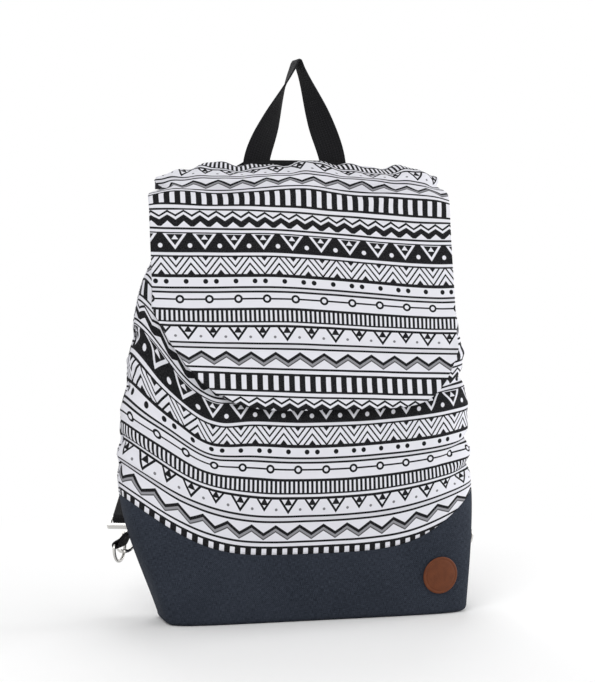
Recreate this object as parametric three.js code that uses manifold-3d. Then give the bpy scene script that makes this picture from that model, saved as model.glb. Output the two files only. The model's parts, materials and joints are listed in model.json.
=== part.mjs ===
// Backpack of printed canvas on a denim base, with a front flap, a webbing grab loop
// and one shoulder strap that runs through a band on the back and clips to a ring on each side.
// Millimetres, +Z up, front towards -Y. The origin is on the base, under the flap's middle line.
import * as THREE from "three";
import { mergeVertices } from "three/addons/utils/BufferGeometryUtils.js";
import Module from "manifold-3d";

const wasm = await Module();
wasm.setup();

// Clearances
const GAP = 0.3; // between pieces that are sewn or pressed together
const LINING_GAP = 2.4; // between the outer cloth and the lining

// Cloth
const CANVAS = 1.6; // outer cloth with its interlining
const LINING = 1.0;
const WEBBING = 1.6;

// Sack: half widths left and right of the middle line, and depths in front and behind
const BASE_LEFT = 128; // the left lower corner is pushed in
const BASE_RIGHT = 160;
const BASE_DEPTH = 74;
const BASE_ROUND = 6; // rounding where the walls turn into the floor
const BELLY_HEIGHT = 122;
const BELLY_HALF_WIDTH = 168;
const BELLY_FRONT = 52;
const BELLY_BACK = 46;
const WAIST_HEIGHT = 250;
const WAIST_HALF_WIDTH = 157;
const WAIST_FRONT = 46;
const WAIST_BACK = 39;
const SHOULDER_HEIGHT = 308;
const SHOULDER_HALF_WIDTH = 147;
const SHOULDER_FRONT = 36;
const SHOULDER_BACK = 33;
const NECK_HEIGHT = 345;
const NECK_HALF_WIDTH = 131;
const NECK_FRONT = 27;
const NECK_BACK = 27;
const MOUTH_HEIGHT = 384;
const MOUTH_HALF_WIDTH = 122;
const MOUTH_FRONT = 17;
const MOUTH_BACK = 21;
const BACK_RISE = 12; // how far the back panel stands above the mouth
const BASE_SQUARE = 6; // powers of the sections: a higher one is squarer
const BODY_SQUARE = 2.8;
const NECK_SQUARE = 3;
const MOUTH_SQUARE = 3.4;

// Seam between the printed canvas and the denim
const SEAM_MIDDLE = 64;
const SEAM_SIDE = 118;
const SEAM_CURVE = 2.6; // a higher power keeps more of it level

// Folds where the upper corners are tucked in under the flap
const TUCK_DEPTH = 6;
const TUCK_WIDTH = 24;
const TUCK_SLOPE = 3; // how steeply they run down
const TUCK_CURVE = 4; // a higher power keeps them nearer the sides

// Flap
const FLAP_HALF_WIDTH = 143;
const FLAP_BOTTOM = 196; // height of its lower edge
const FLAP_CLEARANCE = 5; // from the front panel to the flap's outer face
const FLAP_CORNER_LEFT = 92; // heights that the rounded lower corners rise
const FLAP_CORNER_RIGHT = 52;
const FLAP_CURVE_LEFT = 3.6; // a higher power keeps more of the lower edge straight
const FLAP_CURVE_RIGHT = 8;
const FLAP_RISE = 36; // from the mouth to the top of the fold
const FOLD_SHARE = 0.3; // share of the flap's rows that turn over the fold
const FLAP_DROOP = 15; // how far the fold drops at its ends
const DROOP_CURVE = 4;
const FLAP_SECTION = 3; // power of its bow from side to side

// Webbing
const LOOP_WIDTH = 25;
const LOOP_HEIGHT = 98; // above the fold
const LOOP_LEFT = 34; // legs, from the middle line
const LOOP_RIGHT = 44;
const LOOP_LEAN = 7; // the tip's distance from the middle line
const LOOP_FOOT = 14.7; // its cut ends below the middle of the band
const LOOP_TWIST = 20; // height above the back panel where its legs start to turn
const STRAP_WIDTH = 38;
const STRAP_TURN = 24; // radius of the strap's turn behind the band
const STRAP_LEAD = 62; // how far each end keeps the hook's direction
const STRAP_FALL = 120; // how far each leg keeps its direction under the band
const STRAP_CLEARANCE = 2.2; // from the back panel to the strap's turn
const STRAP_BOW = 62; // how far it swings out over that fall
const STRAP_SPREAD = 25; // how far it swings sideways
const TURN_DROP = 15.8; // from the back panel's top to the centre of the strap's turn
const STRAP_RETURN = 26; // length sewn back at each end
const BAND_HALF_LENGTH = 62;
const BAND_WIDTH = 42;
const BAND_CLEARANCE = 0.9; // between the band and the strap under it
const BAND_LIFT = 2; // its lower edge above the start of the strap's turn
const BAND_EASE = 6; // length over which it drops to the back panel
const BAND_STEP = 1; // height that it has left at the end of that drop
const BAND_SIDE = 2; // between the strap's turn and that drop

// Leather patch
const PATCH_RADIUS = 17.5;
const PATCH_THICKNESS = 1.8;
const PATCH_X = 127;
const PATCH_Z = 38;
const PATCH_SPOKES = 28;
const PATCH_RING = 0.55; // share of the radius where its inner ring of points lies

// Side rings and their tabs
const TAB_WIDTH = 22;
const TAB_HEIGHT = 84; // of the tab's root
const TAB_REACH = 9;
const TAB_DROP = 15; // from the tab's root down to the ring's bar
const TAB_TURN = 0.045; // how far behind the middle of the side, in turns
const TAB_ROOT_IN = 18; // how far the tab is led into the sack, before it is cut to the cloth
const TAB_ROOT_UP = 19.5;
const RING_WIRE = 3;
const RING_DROP = 16;
const RING_CORNER = 3;
const RING_SIDE = 0.9; // between the tab's edges and the ring
const RING_PLAY = 2.6; // between the ring and the hook that holds it
const RING_GRIP = 5.3; // where the hook holds the ring, below its bar

// Snap hooks
const HOOK_OUT = 0.15; // the hook's direction: out of the side, to the back and up
const HOOK_BACK = 0.85;
const HOOK_UP = 0.45;
const HOOK_WIRE = 3.6;
const HOOK_LENGTH = 36; // from the eye to the hook's end
const HOOK_WIDTH = 15.6; // middle of wire to middle of wire
const HOOK_NECK = 10; // from the eye to the start of the oval
const NOSE_SHARE = 0.52; // how far up its open side the hook's nose stands
const GATE_THICKNESS = 2.2;
const GATE_WIDTH = 3.2;
const PIN_RADIUS = 0.9;
const PIVOT_SIDE = 4.2; // the gate's pin, from the hook's middle line
const PIVOT_BACK = 0.5; // and behind the start of the oval
const KNUCKLE_RADIUS = 2;
const EAR_RADIUS = 2.2;
const EAR_BAR = 2.9;
const EAR_THICKNESS = 1.3;
const NECK_RADIUS = 2.6;
const EYE_BAR = 3.4;
const EYE_WINDOW = 9; // room for the strap's turn and the hook's head
const EYE_DEPTH = 4.4;
const EYE_SIDE = 1; // between the strap's edges and the eye
const EYE_CORNER = 2.7;
const BOSS_RADIUS = 4.6;
const BOSS_HEIGHT = 6;
const HEAD_HEIGHT = 1.6;
const HEAD_RIM = 1.2; // how far the hook's head is wider than its shank

// Strap slider
const SLIDER_BAR = 2.4;
const SLIDER_GAP = 1.2;
const SLIDER_LENGTH = 22;
const SLIDER_SHARE = 0.5; // its place along the strap's left leg

// How finely curves are cut
const SACK_COLUMNS = 40;
const PANEL_ROWS = 11;
const DENIM_ROWS = 4;
const FLAP_COLUMNS = 18;
const FLAP_ROWS = 14;
const WIRE_SIDES = 8;
const ROD_SIDES = 12;
const LOOP_STEPS = 36;
const RING_STEPS = 36;
const HOOK_STEPS = 28;
const LEG_STEPS = 20;
const TURN_STEPS = 8;
const WRAP_STEPS = 6;
const BLOCK_ROWS = 8;
const CUT = 1; // how far a cutting body runs past what it cuts

const BACK_TOP = MOUTH_HEIGHT + BACK_RISE;
const FOLD_TOP = MOUTH_HEIGHT + FLAP_RISE;
const LEFT = -1;
const RIGHT = 1;

const group = new THREE.Group();

function material(color, roughness, metalness) {
  return new THREE.MeshStandardMaterial({ color, roughness, metalness });
}
const PRINT = () => material(0x9a9aa0, 0.85, 0);
const DENIM = () => material(0x373c4b, 0.9, 0);
const DARK_CLOTH = () => material(0x1c1d20, 0.9, 0);
const BLACK_WEBBING = () => material(0x17181a, 0.75, 0);
const TAN_LEATHER = () => material(0x82411e, 0.6, 0);
const NICKEL = () => material(0xc9c9c6, 0.25, 1);

function piece(name, geometry, finish, parent = group) {
  const mesh = new THREE.Mesh(geometry, finish());
  mesh.name = name;
  parent.add(mesh);
  return mesh;
}

// Geometry helpers

function signedVolume(points, faces) {
  let sum = 0;
  for (let i = 0; i < faces.length; i += 3) {
    const [a, b, c] = [points[faces[i]], points[faces[i + 1]], points[faces[i + 2]]];
    sum += a.dot(b.clone().cross(c)) / 6;
  }
  return sum;
}

// A closed body from points and triangles, turned so that its faces point out.
function body(points, faces) {
  const outward = signedVolume(points, faces) > 0 ? faces : [...faces].reverse();
  const geometry = new THREE.BufferGeometry().setFromPoints(points);
  geometry.setIndex(outward);
  return geometry;
}

// A thin wall between two grids of points. Rows run up the wall, and columns run along it.
// A ring closes on itself along its rows, and a floor closes its first row.
function wall(outer, inner, { ring = false, floor = false } = {}) {
  const rows = outer.length;
  const columns = outer[0].length;
  const points = [...outer.flat(), ...inner.flat()];
  const faces = [];
  const at = (side, row, column) => (side * rows + row) * columns + (column % columns);
  const quad = (a, b, c, d) => faces.push(a, b, c, a, c, d);
  const spans = ring ? columns : columns - 1;
  for (let c = 0; c < spans; c++) {
    for (let r = 0; r < rows - 1; r++) {
      quad(at(0, r, c), at(0, r, c + 1), at(0, r + 1, c + 1), at(0, r + 1, c));
      quad(at(1, r, c), at(1, r + 1, c), at(1, r + 1, c + 1), at(1, r, c + 1));
    }
    quad(at(0, rows - 1, c), at(0, rows - 1, c + 1), at(1, rows - 1, c + 1), at(1, rows - 1, c));
    if (!floor) quad(at(0, 0, c + 1), at(0, 0, c), at(1, 0, c), at(1, 0, c + 1));
  }
  for (let r = 0; !ring && r < rows - 1; r++) {
    const end = columns - 1;
    quad(at(0, r, 0), at(0, r + 1, 0), at(1, r + 1, 0), at(1, r, 0));
    quad(at(0, r + 1, end), at(0, r, end), at(1, r, end), at(1, r + 1, end));
  }
  if (floor) {
    const middles = [outer, inner].map((grid) => {
      const box = new THREE.Box3().setFromPoints(grid[0]);
      return points.push(box.getCenter(new THREE.Vector3())) - 1;
    });
    for (let c = 0; c < spans; c++) {
      faces.push(middles[0], at(0, 0, c + 1), at(0, 0, c));
      faces.push(middles[1], at(1, 0, c), at(1, 0, c + 1));
    }
  }
  return body(points, faces);
}

// A body swept through a row of sections that have the same number of points.
function sweep(sections, closed = false) {
  const sides = sections[0].length;
  const points = sections.flat();
  const faces = [];
  const spans = closed ? sections.length : sections.length - 1;
  for (let i = 0; i < spans; i++) {
    const next = (i + 1) % sections.length;
    for (let k = 0; k < sides; k++) {
      const after = (k + 1) % sides;
      const [a, b] = [i * sides + k, i * sides + after];
      const [c, d] = [next * sides + after, next * sides + k];
      faces.push(a, b, c, a, c, d);
    }
  }
  const last = (sections.length - 1) * sides;
  for (let k = 1; !closed && k < sides - 1; k++) {
    faces.push(0, k + 1, k);
    faces.push(last, last + k, last + k + 1);
  }
  return body(points, faces);
}

function tangents(points, closed = false) {
  const count = points.length;
  return points.map((_, i) => {
    const before = closed ? (i + count - 1) % count : Math.max(i - 1, 0);
    const after = closed ? (i + 1) % count : Math.min(i + 1, count - 1);
    return points[after].clone().sub(points[before]).normalize();
  });
}

// A round wire along points that lie in one plane.
function wire(points, diameter, normal, closed = false) {
  const along = tangents(points, closed);
  return sweep(points.map((point, i) => {
    const across = normal.clone().cross(along[i]).normalize();
    return Array.from({ length: WIRE_SIDES }, (_, k) => {
      const angle = (2 * Math.PI * (k + 0.5)) / WIRE_SIDES;
      return point.clone()
        .addScaledVector(across, (diameter / 2) * Math.cos(angle))
        .addScaledVector(normal, (diameter / 2) * Math.sin(angle));
    });
  }), closed);
}

// A flat band along points, with the direction of its width at each point.
function ribbon(points, widths, width, thickness = WEBBING) {
  const along = tangents(points);
  return sweep(points.map((point, i) => {
    const across = widths[i].clone().addScaledVector(along[i], -widths[i].dot(along[i])).normalize();
    const up = along[i].clone().cross(across);
    return [[1, 1], [-1, 1], [-1, -1], [1, -1]].map(([w, h]) => point.clone()
      .addScaledVector(across, (w * width) / 2)
      .addScaledVector(up, (h * thickness) / 2));
  }));
}

function solid(geometry) {
  const bare = geometry.clone();
  bare.deleteAttribute("normal");
  bare.deleteAttribute("uv");
  const merged = mergeVertices(bare, 1e-4);
  return new wasm.Manifold(new wasm.Mesh({
    numProp: 3,
    vertProperties: new Float32Array(merged.attributes.position.array),
    triVerts: new Uint32Array(merged.index.array),
  }));
}

function fromSolid(manifold) {
  const mesh = manifold.getMesh();
  const geometry = new THREE.BufferGeometry();
  geometry.setAttribute("position", new THREE.BufferAttribute(mesh.vertProperties, 3));
  geometry.setIndex(new THREE.BufferAttribute(mesh.triVerts, 1));
  return geometry;
}

function rod(radius, from, to) {
  const span = to.clone().sub(from);
  const geometry = new THREE.CylinderGeometry(radius, radius, span.length(), ROD_SIDES);
  const turn = new THREE.Quaternion();
  turn.setFromUnitVectors(new THREE.Vector3(0, 1, 0), span.clone().normalize());
  geometry.applyQuaternion(turn);
  return geometry.translate(...from.clone().add(to).divideScalar(2).toArray());
}

// The sack's form

const station = (z, left, right, front, back, square) => ({ z, left, right, front, back, square });
const evenStation = (z, half, front, back, square) => station(z, half, half, front, back, square);
const STATIONS = [
  station(0, BASE_LEFT, BASE_RIGHT, BASE_DEPTH / 2, BASE_DEPTH / 2, BASE_SQUARE),
  evenStation(BELLY_HEIGHT, BELLY_HALF_WIDTH, BELLY_FRONT, BELLY_BACK, BODY_SQUARE),
  evenStation(WAIST_HEIGHT, WAIST_HALF_WIDTH, WAIST_FRONT, WAIST_BACK, BODY_SQUARE),
  evenStation(SHOULDER_HEIGHT, SHOULDER_HALF_WIDTH, SHOULDER_FRONT, SHOULDER_BACK, BODY_SQUARE),
  evenStation(NECK_HEIGHT, NECK_HALF_WIDTH, NECK_FRONT, NECK_BACK, NECK_SQUARE),
  evenStation(MOUTH_HEIGHT, MOUTH_HALF_WIDTH, MOUTH_FRONT, MOUTH_BACK, MOUTH_SQUARE),
];

// A size of the sack at a height, on a smooth curve through its stations.
function sackSize(key, z) {
  const last = STATIONS.length - 1;
  const height = THREE.MathUtils.clamp(z, 0, STATIONS[last].z);
  let i = 0;
  while (i < last - 1 && height > STATIONS[i + 1].z) i++;
  const slope = (k) => {
    const [before, after] = [STATIONS[Math.max(k - 1, 0)], STATIONS[Math.min(k + 1, last)]];
    return (after[key] - before[key]) / (after.z - before.z);
  };
  const [low, high] = [STATIONS[i], STATIONS[i + 1]];
  const span = high.z - low.z;
  const u = (height - low.z) / span;
  const rise = u * u * (3 - 2 * u);
  return low[key] + (high[key] - low[key]) * rise
    + span * (u * (1 - u) * (1 - u) * slope(i) - u * u * (1 - u) * slope(i + 1));
}

// How far the tucked corners draw the cloth in: a crease that runs down and inwards from each shoulder.
function tuck(across, forward, z) {
  if (forward <= 0) return 0;
  const drop = NECK_HEIGHT - (1 - across) * (NECK_HEIGHT - WAIST_HEIGHT) * TUCK_SLOPE;
  const off = (z - drop) / TUCK_WIDTH;
  return TUCK_DEPTH * forward * Math.exp(-off * off) * across ** TUCK_CURVE;
}

// A point of the sack: turn 0 is its right side, 0.25 the back, 0.5 the left side and 0.75 the front.
function sackPoint(turn, z, inset = 0) {
  const angle = 2 * Math.PI * turn;
  const [cos, sin] = [Math.cos(angle), Math.sin(angle)];
  const power = 2 / sackSize("square", z);
  const [across, along] = [Math.abs(cos) ** power, Math.abs(sin) ** power];
  const draw = inset + tuck(across, -Math.sign(sin) * along, z);
  const width = sackSize(cos > 0 ? "right" : "left", z) - draw;
  const depth = sackSize(sin > 0 ? "back" : "front", z) - draw;
  return new THREE.Vector3(Math.sign(cos) * width * across, Math.sign(sin) * depth * along, z);
}

// The front face's y at a place on the sack.
function sackFront(x, z) {
  const half = sackSize(x > 0 ? "right" : "left", z);
  const square = sackSize("square", z);
  const share = Math.min(Math.abs(x) / half, 1);
  return -sackSize("front", z) * (1 - share ** square) ** (1 / square);
}

function seamHeight(turn) {
  const across = Math.abs(Math.cos(2 * Math.PI * turn)) ** (2 / sackSize("square", SEAM_SIDE));
  return SEAM_MIDDLE + (SEAM_SIDE - SEAM_MIDDLE) * across ** SEAM_CURVE;
}

const range = (count) => Array.from({ length: count }, (_, i) => i);
const ringTurns = range(SACK_COLUMNS).map((c) => c / SACK_COLUMNS);

// Denim base: a tub whose floor the bag stands on.
function denimBase() {
  const grid = (inset, floor) => {
    const edge = [[BASE_ROUND, 0], [BASE_ROUND * 0.3, BASE_ROUND * 0.3]].map(([pull, rise]) =>
      ringTurns.map((turn) => {
        const point = sackPoint(turn, BASE_ROUND, inset + pull);
        return point.setZ(floor + rise);
      }));
    const walls = range(DENIM_ROWS + 1).map((r) => ringTurns.map((turn) => {
      const low = floor + BASE_ROUND;
      return sackPoint(turn, low + ((seamHeight(turn) - low) * r) / DENIM_ROWS, inset);
    }));
    return [...edge, ...walls];
  };
  return wall(grid(0, 0), grid(CANVAS, CANVAS), { ring: true, floor: true });
}

// A printed panel: the front or back half of the sack, from the denim's seam to its top edge.
function printedPanel(firstTurn, top) {
  const half = SACK_COLUMNS / 2;
  const sideGap = GAP / 2 / SEAM_SIDE;
  const grid = (inset) => range(PANEL_ROWS + 1).map((r) => range(half + 1).map((c) => {
    const nudge = c === 0 ? sideGap : c === half ? -sideGap : 0;
    const turn = firstTurn + c / SACK_COLUMNS + nudge;
    const low = seamHeight(turn) + GAP;
    return sackPoint(turn, low + ((top - low) * r) / PANEL_ROWS, inset);
  }));
  return wall(grid(0), grid(CANVAS));
}

// Lining: hangs a little clear of the outer cloth, and is sewn to it round the mouth.
function liningSack() {
  const grid = (extra) => {
    const inset = CANVAS + LINING_GAP + extra;
    const floor = inset;
    const edge = ringTurns.map((turn) => sackPoint(turn, BASE_ROUND, inset + BASE_ROUND).setZ(floor));
    const walls = range(PANEL_ROWS).map((r) => ringTurns.map((turn) => {
      const low = floor + BASE_ROUND;
      const sewn = r === PANEL_ROWS - 1 ? CANVAS + GAP + extra : inset;
      return sackPoint(turn, low + ((MOUTH_HEIGHT - low) * r) / (PANEL_ROWS - 1), sewn);
    }));
    return [edge, ...walls];
  };
  return wall(grid(0), grid(LINING), { ring: true, floor: true });
}

// The flap's outer face: share 0 is its lower edge, and it runs up the front and over the fold.
function flapBottom(x) {
  const side = Math.abs(x) / FLAP_HALF_WIDTH;
  if (x < 0) return FLAP_BOTTOM + FLAP_CORNER_LEFT * side ** FLAP_CURVE_LEFT;
  return FLAP_BOTTOM + FLAP_CORNER_RIGHT * side ** FLAP_CURVE_RIGHT;
}

function flapDepth(x, z) {
  const side = Math.abs(x) / BELLY_HALF_WIDTH;
  return (sackSize("front", z) + FLAP_CLEARANCE) * (1 - side ** FLAP_SECTION) ** (1 / FLAP_SECTION);
}

function flapPoint(x, share) {
  const droop = FLAP_DROOP * (Math.abs(x) / FLAP_HALF_WIDTH) ** DROOP_CURVE;
  const start = MOUTH_HEIGHT - droop;
  if (share < 1 - FOLD_SHARE) {
    const low = flapBottom(x);
    const z = low + ((start - low) * share) / (1 - FOLD_SHARE);
    return new THREE.Vector3(x, -flapDepth(x, z), z);
  }
  const angle = Math.PI * ((share - 1 + FOLD_SHARE) / FOLD_SHARE);
  const front = -flapDepth(x, start);
  const back = MOUTH_BACK;
  const end = BACK_TOP + GAP;
  const level = start + ((end - start) * (1 - Math.cos(angle))) / 2;
  const rise = FOLD_TOP - droop - (start + end) / 2;
  const y = (front + back) / 2 - ((back - front) / 2) * Math.cos(angle);
  return new THREE.Vector3(x, y, level + rise * Math.sin(angle));
}

const flapGrid = range(FLAP_ROWS + 1).map((r) => range(FLAP_COLUMNS + 1).map((c) =>
  flapPoint(FLAP_HALF_WIDTH * ((2 * c) / FLAP_COLUMNS - 1), r / FLAP_ROWS)));

// A grid of points moved into the cloth, square to its surface. The last row keeps its height.
function sunk(grid, depth) {
  const near = (list, i) => list[THREE.MathUtils.clamp(i, 0, list.length - 1)];
  return grid.map((row, r) => row.map((point, c) => {
    const along = near(row, c + 1).clone().sub(near(row, c - 1));
    const up = near(grid, r + 1)[c].clone().sub(near(grid, r - 1)[c]);
    const moved = point.clone().addScaledVector(along.cross(up).normalize(), -depth);
    return r === grid.length - 1 ? moved.setZ(point.z) : moved;
  }));
}

function flapLayer(depth, thickness) {
  return wall(sunk(flapGrid, depth), sunk(flapGrid, depth + thickness));
}

piece("denim_base", denimBase(), DENIM);
piece("front_panel", printedPanel(0.5, MOUTH_HEIGHT), PRINT);
piece("back_panel", printedPanel(0, BACK_TOP), PRINT);
piece("lining", liningSack(), DARK_CLOTH);
piece("flap_outer", flapLayer(0, CANVAS), PRINT);
piece("flap_lining", flapLayer(CANVAS + GAP, LINING), DARK_CLOTH);

// Leather patch: a disc that follows the denim's front.
function leatherPatch() {
  const spokes = PATCH_SPOKES;
  const face = (off) => [1, PATCH_RING].map((share) => range(spokes).map((k) => {
    const angle = (2 * Math.PI * k) / spokes;
    const x = PATCH_X + share * PATCH_RADIUS * Math.cos(angle);
    const z = PATCH_Z + share * PATCH_RADIUS * Math.sin(angle);
    return new THREE.Vector3(x, sackFront(x, z) - off, z);
  }));
  const middle = (off) => new THREE.Vector3(PATCH_X, sackFront(PATCH_X, PATCH_Z) - off, PATCH_Z);
  const off = GAP * 2;
  const [outer, inner] = [face(off + PATCH_THICKNESS), face(off)];
  const points = [...outer.flat(), ...inner.flat(), middle(off + PATCH_THICKNESS), middle(off)];
  const faces = [];
  const at = (ring, k) => ring * spokes + (k % spokes);
  const middles = [4 * spokes, 4 * spokes + 1];
  for (let k = 0; k < spokes; k++) {
    const strip = (a, b) => {
      faces.push(at(a, k), at(a, k + 1), at(b, k + 1));
      faces.push(at(a, k), at(b, k + 1), at(b, k));
    };
    strip(0, 1);
    faces.push(at(1, k), at(1, k + 1), middles[0]);
    strip(3, 2);
    faces.push(at(3, k + 1), at(3, k), middles[1]);
    strip(2, 0);
  }
  return body(points, faces);
}
piece("leather_patch", leatherPatch(), TAN_LEATHER);

// Grab loop, band and strap on the back

const TURN_HEIGHT = BACK_TOP - TURN_DROP;
const STRAP_Y = sackPoint(0.25, TURN_HEIGHT).y + STRAP_CLEARANCE + WEBBING / 2;
const BAND_Y = STRAP_Y + WEBBING + BAND_CLEARANCE;
const BAND_HEIGHT = TURN_HEIGHT + BAND_WIDTH / 2 + BAND_LIFT;
const LOOP_Y = BAND_Y + WEBBING + GAP;
const vector = (x, y, z) => new THREE.Vector3(x, y, z);
const UP = vector(0, 0, 1);

function crossBand() {
  const seat = sackPoint(0.25, BAND_HEIGHT - BAND_WIDTH / 2).y + GAP + WEBBING / 2;
  const flat = STRAP_TURN + STRAP_WIDTH / 2 + BAND_SIDE;
  const half = [[flat, BAND_Y], [flat + BAND_EASE, seat + BAND_STEP], [BAND_HALF_LENGTH, seat]];
  const mirrored = half.map(([x, y]) => [-x, y]).reverse();
  const points = [...mirrored, ...half].map(([x, y]) => vector(x, y, BAND_HEIGHT));
  return ribbon(points, points.map(() => UP), BAND_WIDTH);
}
piece("cross_band", crossBand(), BLACK_WEBBING);

// Shares of the loop's height, and how much of each foot's distance from the tip is left there.
const LOOP_FORM = [[0, 1], [0.28, 0.94], [0.55, 0.62], [0.78, 0.32], [0.93, 0.11]];

// The grab loop stands up to a tip, and each leg makes a quarter turn on the way.
function grabLoop() {
  const low = BAND_HEIGHT - LOOP_FOOT;
  const tip = FOLD_TOP + LOOP_HEIGHT;
  const leg = (foot) => LOOP_FORM.map(([up, out]) =>
    vector(LOOP_LEAN + (foot - LOOP_LEAN) * out, LOOP_Y, low + (tip - low) * up));
  const route = [...leg(-LOOP_LEFT), vector(LOOP_LEAN, LOOP_Y, tip), ...leg(LOOP_RIGHT).reverse()];
  const points = new THREE.CatmullRomCurve3(route, false, "centripetal").getSpacedPoints(LOOP_STEPS);
  const along = tangents(points);
  const back = vector(0, 1, 0);
  const widths = points.map((point, i) => {
    const turn = THREE.MathUtils.smoothstep(point.z, BACK_TOP + LOOP_TWIST, tip) * (Math.PI / 2);
    const flat = back.clone().cross(along[i]);
    return flat.multiplyScalar(Math.cos(turn)).addScaledVector(back, Math.sin(turn));
  });
  return ribbon(points, widths, LOOP_WIDTH);
}
piece("grab_loop", grabLoop(), BLACK_WEBBING);

// Side hardware: each side has a tab, a ring, and the strap's snap hook with its eye, pin and gate.
const RING_HALF = TAB_WIDTH / 2 + RING_SIDE + RING_WIRE / 2;

// Where the pieces of one side sit: directions out of the sack, towards its back and along the hook.
function sidePlaces(side) {
  const turn = side === LEFT ? 0.5 - TAB_TURN : TAB_TURN;
  const step = side === LEFT ? -0.001 : 0.001;
  const root = sackPoint(turn, TAB_HEIGHT);
  const toBack = sackPoint(turn + step, TAB_HEIGHT).sub(root).normalize();
  const out = toBack.clone().cross(UP).multiplyScalar(side);
  const bar = root.clone().addScaledVector(out, TAB_REACH).addScaledVector(UP, -TAB_DROP);
  const away = vector(0, 0, 0).addScaledVector(out, HOOK_OUT);
  away.addScaledVector(toBack, HOOK_BACK).addScaledVector(UP, HOOK_UP).normalize();
  const along = away.clone().negate();
  const flat = UP.clone().addScaledVector(along, -UP.dot(along)).normalize();
  const across = flat.clone().cross(along);
  const slant = flat.dot(UP);
  const grip = HOOK_LENGTH - (HOOK_WIRE / 2 + RING_WIRE / 2 + RING_PLAY) / slant;
  const held = bar.clone().addScaledVector(toBack, RING_HALF).addScaledVector(UP, -RING_GRIP);
  const eye = held.addScaledVector(away, grip);
  const strapWidth = UP.clone().cross(along).normalize();
  return { side, root, toBack, out, bar, away, along, flat, across, eye, strapWidth };
}
const sides = [LEFT, RIGHT].map(sidePlaces);
const sideName = (side) => (side === LEFT ? "left" : "right");

// A block of the sack around the tabs, a little larger than the cloth, that their roots are cut to.
function sackBlock() {
  const half = 2 * TAB_DROP;
  const rows = range(BLOCK_ROWS + 1).map((r) => TAB_HEIGHT - half + (2 * half * r) / BLOCK_ROWS);
  return solid(sweep(rows.map((z) => ringTurns.map((turn) => sackPoint(turn, z, -GAP)))));
}

function tab({ out, bar }, block) {
  const hole = RING_WIRE / 2 + GAP;
  const round = hole + WEBBING;
  const lead = new THREE.Vector2(-TAB_ROOT_IN, TAB_ROOT_UP);
  const aim = lead.clone().normalize();
  const side = new THREE.Vector2(-aim.y, aim.x);
  const start = Math.atan2(-side.y, -side.x);
  const shape = new THREE.Shape();
  shape.moveTo(lead.x + side.x * WEBBING, lead.y + side.y * WEBBING);
  shape.lineTo(round * side.x, round * side.y);
  shape.absarc(0, 0, round, start + Math.PI, start + 2 * Math.PI, false);
  shape.lineTo(lead.x - side.x * WEBBING, lead.y - side.y * WEBBING);
  shape.closePath();
  shape.holes.push(new THREE.Path().absarc(0, 0, hole, 0, 2 * Math.PI, true));
  const form = { depth: TAB_WIDTH, bevelEnabled: false, curveSegments: ROD_SIDES };
  const extruded = new THREE.ExtrudeGeometry(shape, form);
  extruded.translate(0, 0, -TAB_WIDTH / 2);
  extruded.applyMatrix4(new THREE.Matrix4().makeBasis(out, UP, out.clone().cross(UP)).setPosition(bar));
  return fromSolid(solid(extruded).subtract(block));
}

function dRing({ bar, toBack, out }) {
  const straight = RING_HALF - RING_CORNER;
  const outline = new THREE.Path();
  outline.moveTo(-straight, 0);
  outline.lineTo(straight, 0);
  outline.absarc(straight, -RING_CORNER, RING_CORNER, Math.PI / 2, 0, true);
  outline.absellipse(0, -RING_CORNER, RING_HALF, RING_DROP - RING_CORNER, 0, -Math.PI, true);
  outline.absarc(-straight, -RING_CORNER, RING_CORNER, Math.PI, Math.PI / 2, true);
  const points = outline.getSpacedPoints(RING_STEPS).slice(0, -1).map(({ x, y }) =>
    bar.clone().addScaledVector(toBack, x).addScaledVector(UP, y));
  return wire(points, RING_WIRE, out, true);
}

// A point of the hook: along its length from the eye, across its oval, and up from its flat side.
function hookPoint({ eye, along, across, flat }, u, s, w = 0) {
  return eye.clone().addScaledVector(along, u).addScaledVector(across, s).addScaledVector(flat, w);
}

const OVAL_MIDDLE = (HOOK_NECK + HOOK_LENGTH) / 2;
const OVAL_LONG = (HOOK_LENGTH - HOOK_NECK) / 2;
const NOSE = HOOK_LENGTH - 2 * OVAL_LONG * NOSE_SHARE;
const PIVOT = { u: HOOK_NECK - PIVOT_BACK, s: -PIVOT_SIDE };
const NECK = HOOK_NECK / 2;
const FORK = GATE_WIDTH / 2 + GAP;

function hookBody(place) {
  const noseTurn = -Math.acos((NOSE - OVAL_MIDDLE) / OVAL_LONG);
  const turns = [150, 120, 90, 60, 30, 0, -30, -60].map((degrees) => THREE.MathUtils.degToRad(degrees));
  const oval = [...turns, noseTurn].map((turn) =>
    hookPoint(place, OVAL_MIDDLE + OVAL_LONG * Math.cos(turn), (HOOK_WIDTH / 2) * Math.sin(turn)));
  const head = -BOSS_HEIGHT - GAP;
  const shank = [head - HEAD_HEIGHT / 2, 0, NECK].map((u) => hookPoint(place, u, 0));
  const route = new THREE.CatmullRomCurve3([...shank, ...oval], false, "centripetal");
  let hook = solid(wire(route.getSpacedPoints(HOOK_STEPS), HOOK_WIRE, place.flat));
  const headEnds = [head - HEAD_HEIGHT, head].map((u) => hookPoint(place, u, 0));
  hook = hook.add(solid(rod(HOOK_WIRE / 2 + HEAD_RIM, ...headEnds)));
  const reach = FORK + EAR_THICKNESS;
  const neckEnds = [-reach, reach].map((w) => hookPoint(place, NECK, 0, w));
  hook = hook.add(solid(rod(NECK_RADIUS, ...neckEnds)));
  for (const way of [-1, 1]) {
    const [near, far] = [way * FORK, way * reach];
    const ear = rod(EAR_RADIUS, ...pivotEnds(place, near, far));
    const arm = link(place, { u: NECK, s: 0 }, PIVOT, EAR_BAR, near, far);
    hook = hook.add(solid(ear)).add(solid(arm));
  }
  const bore = rod(PIN_RADIUS + GAP, ...pivotEnds(place, -reach - CUT, reach + CUT));
  return fromSolid(hook.subtract(solid(bore)));
}

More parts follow.
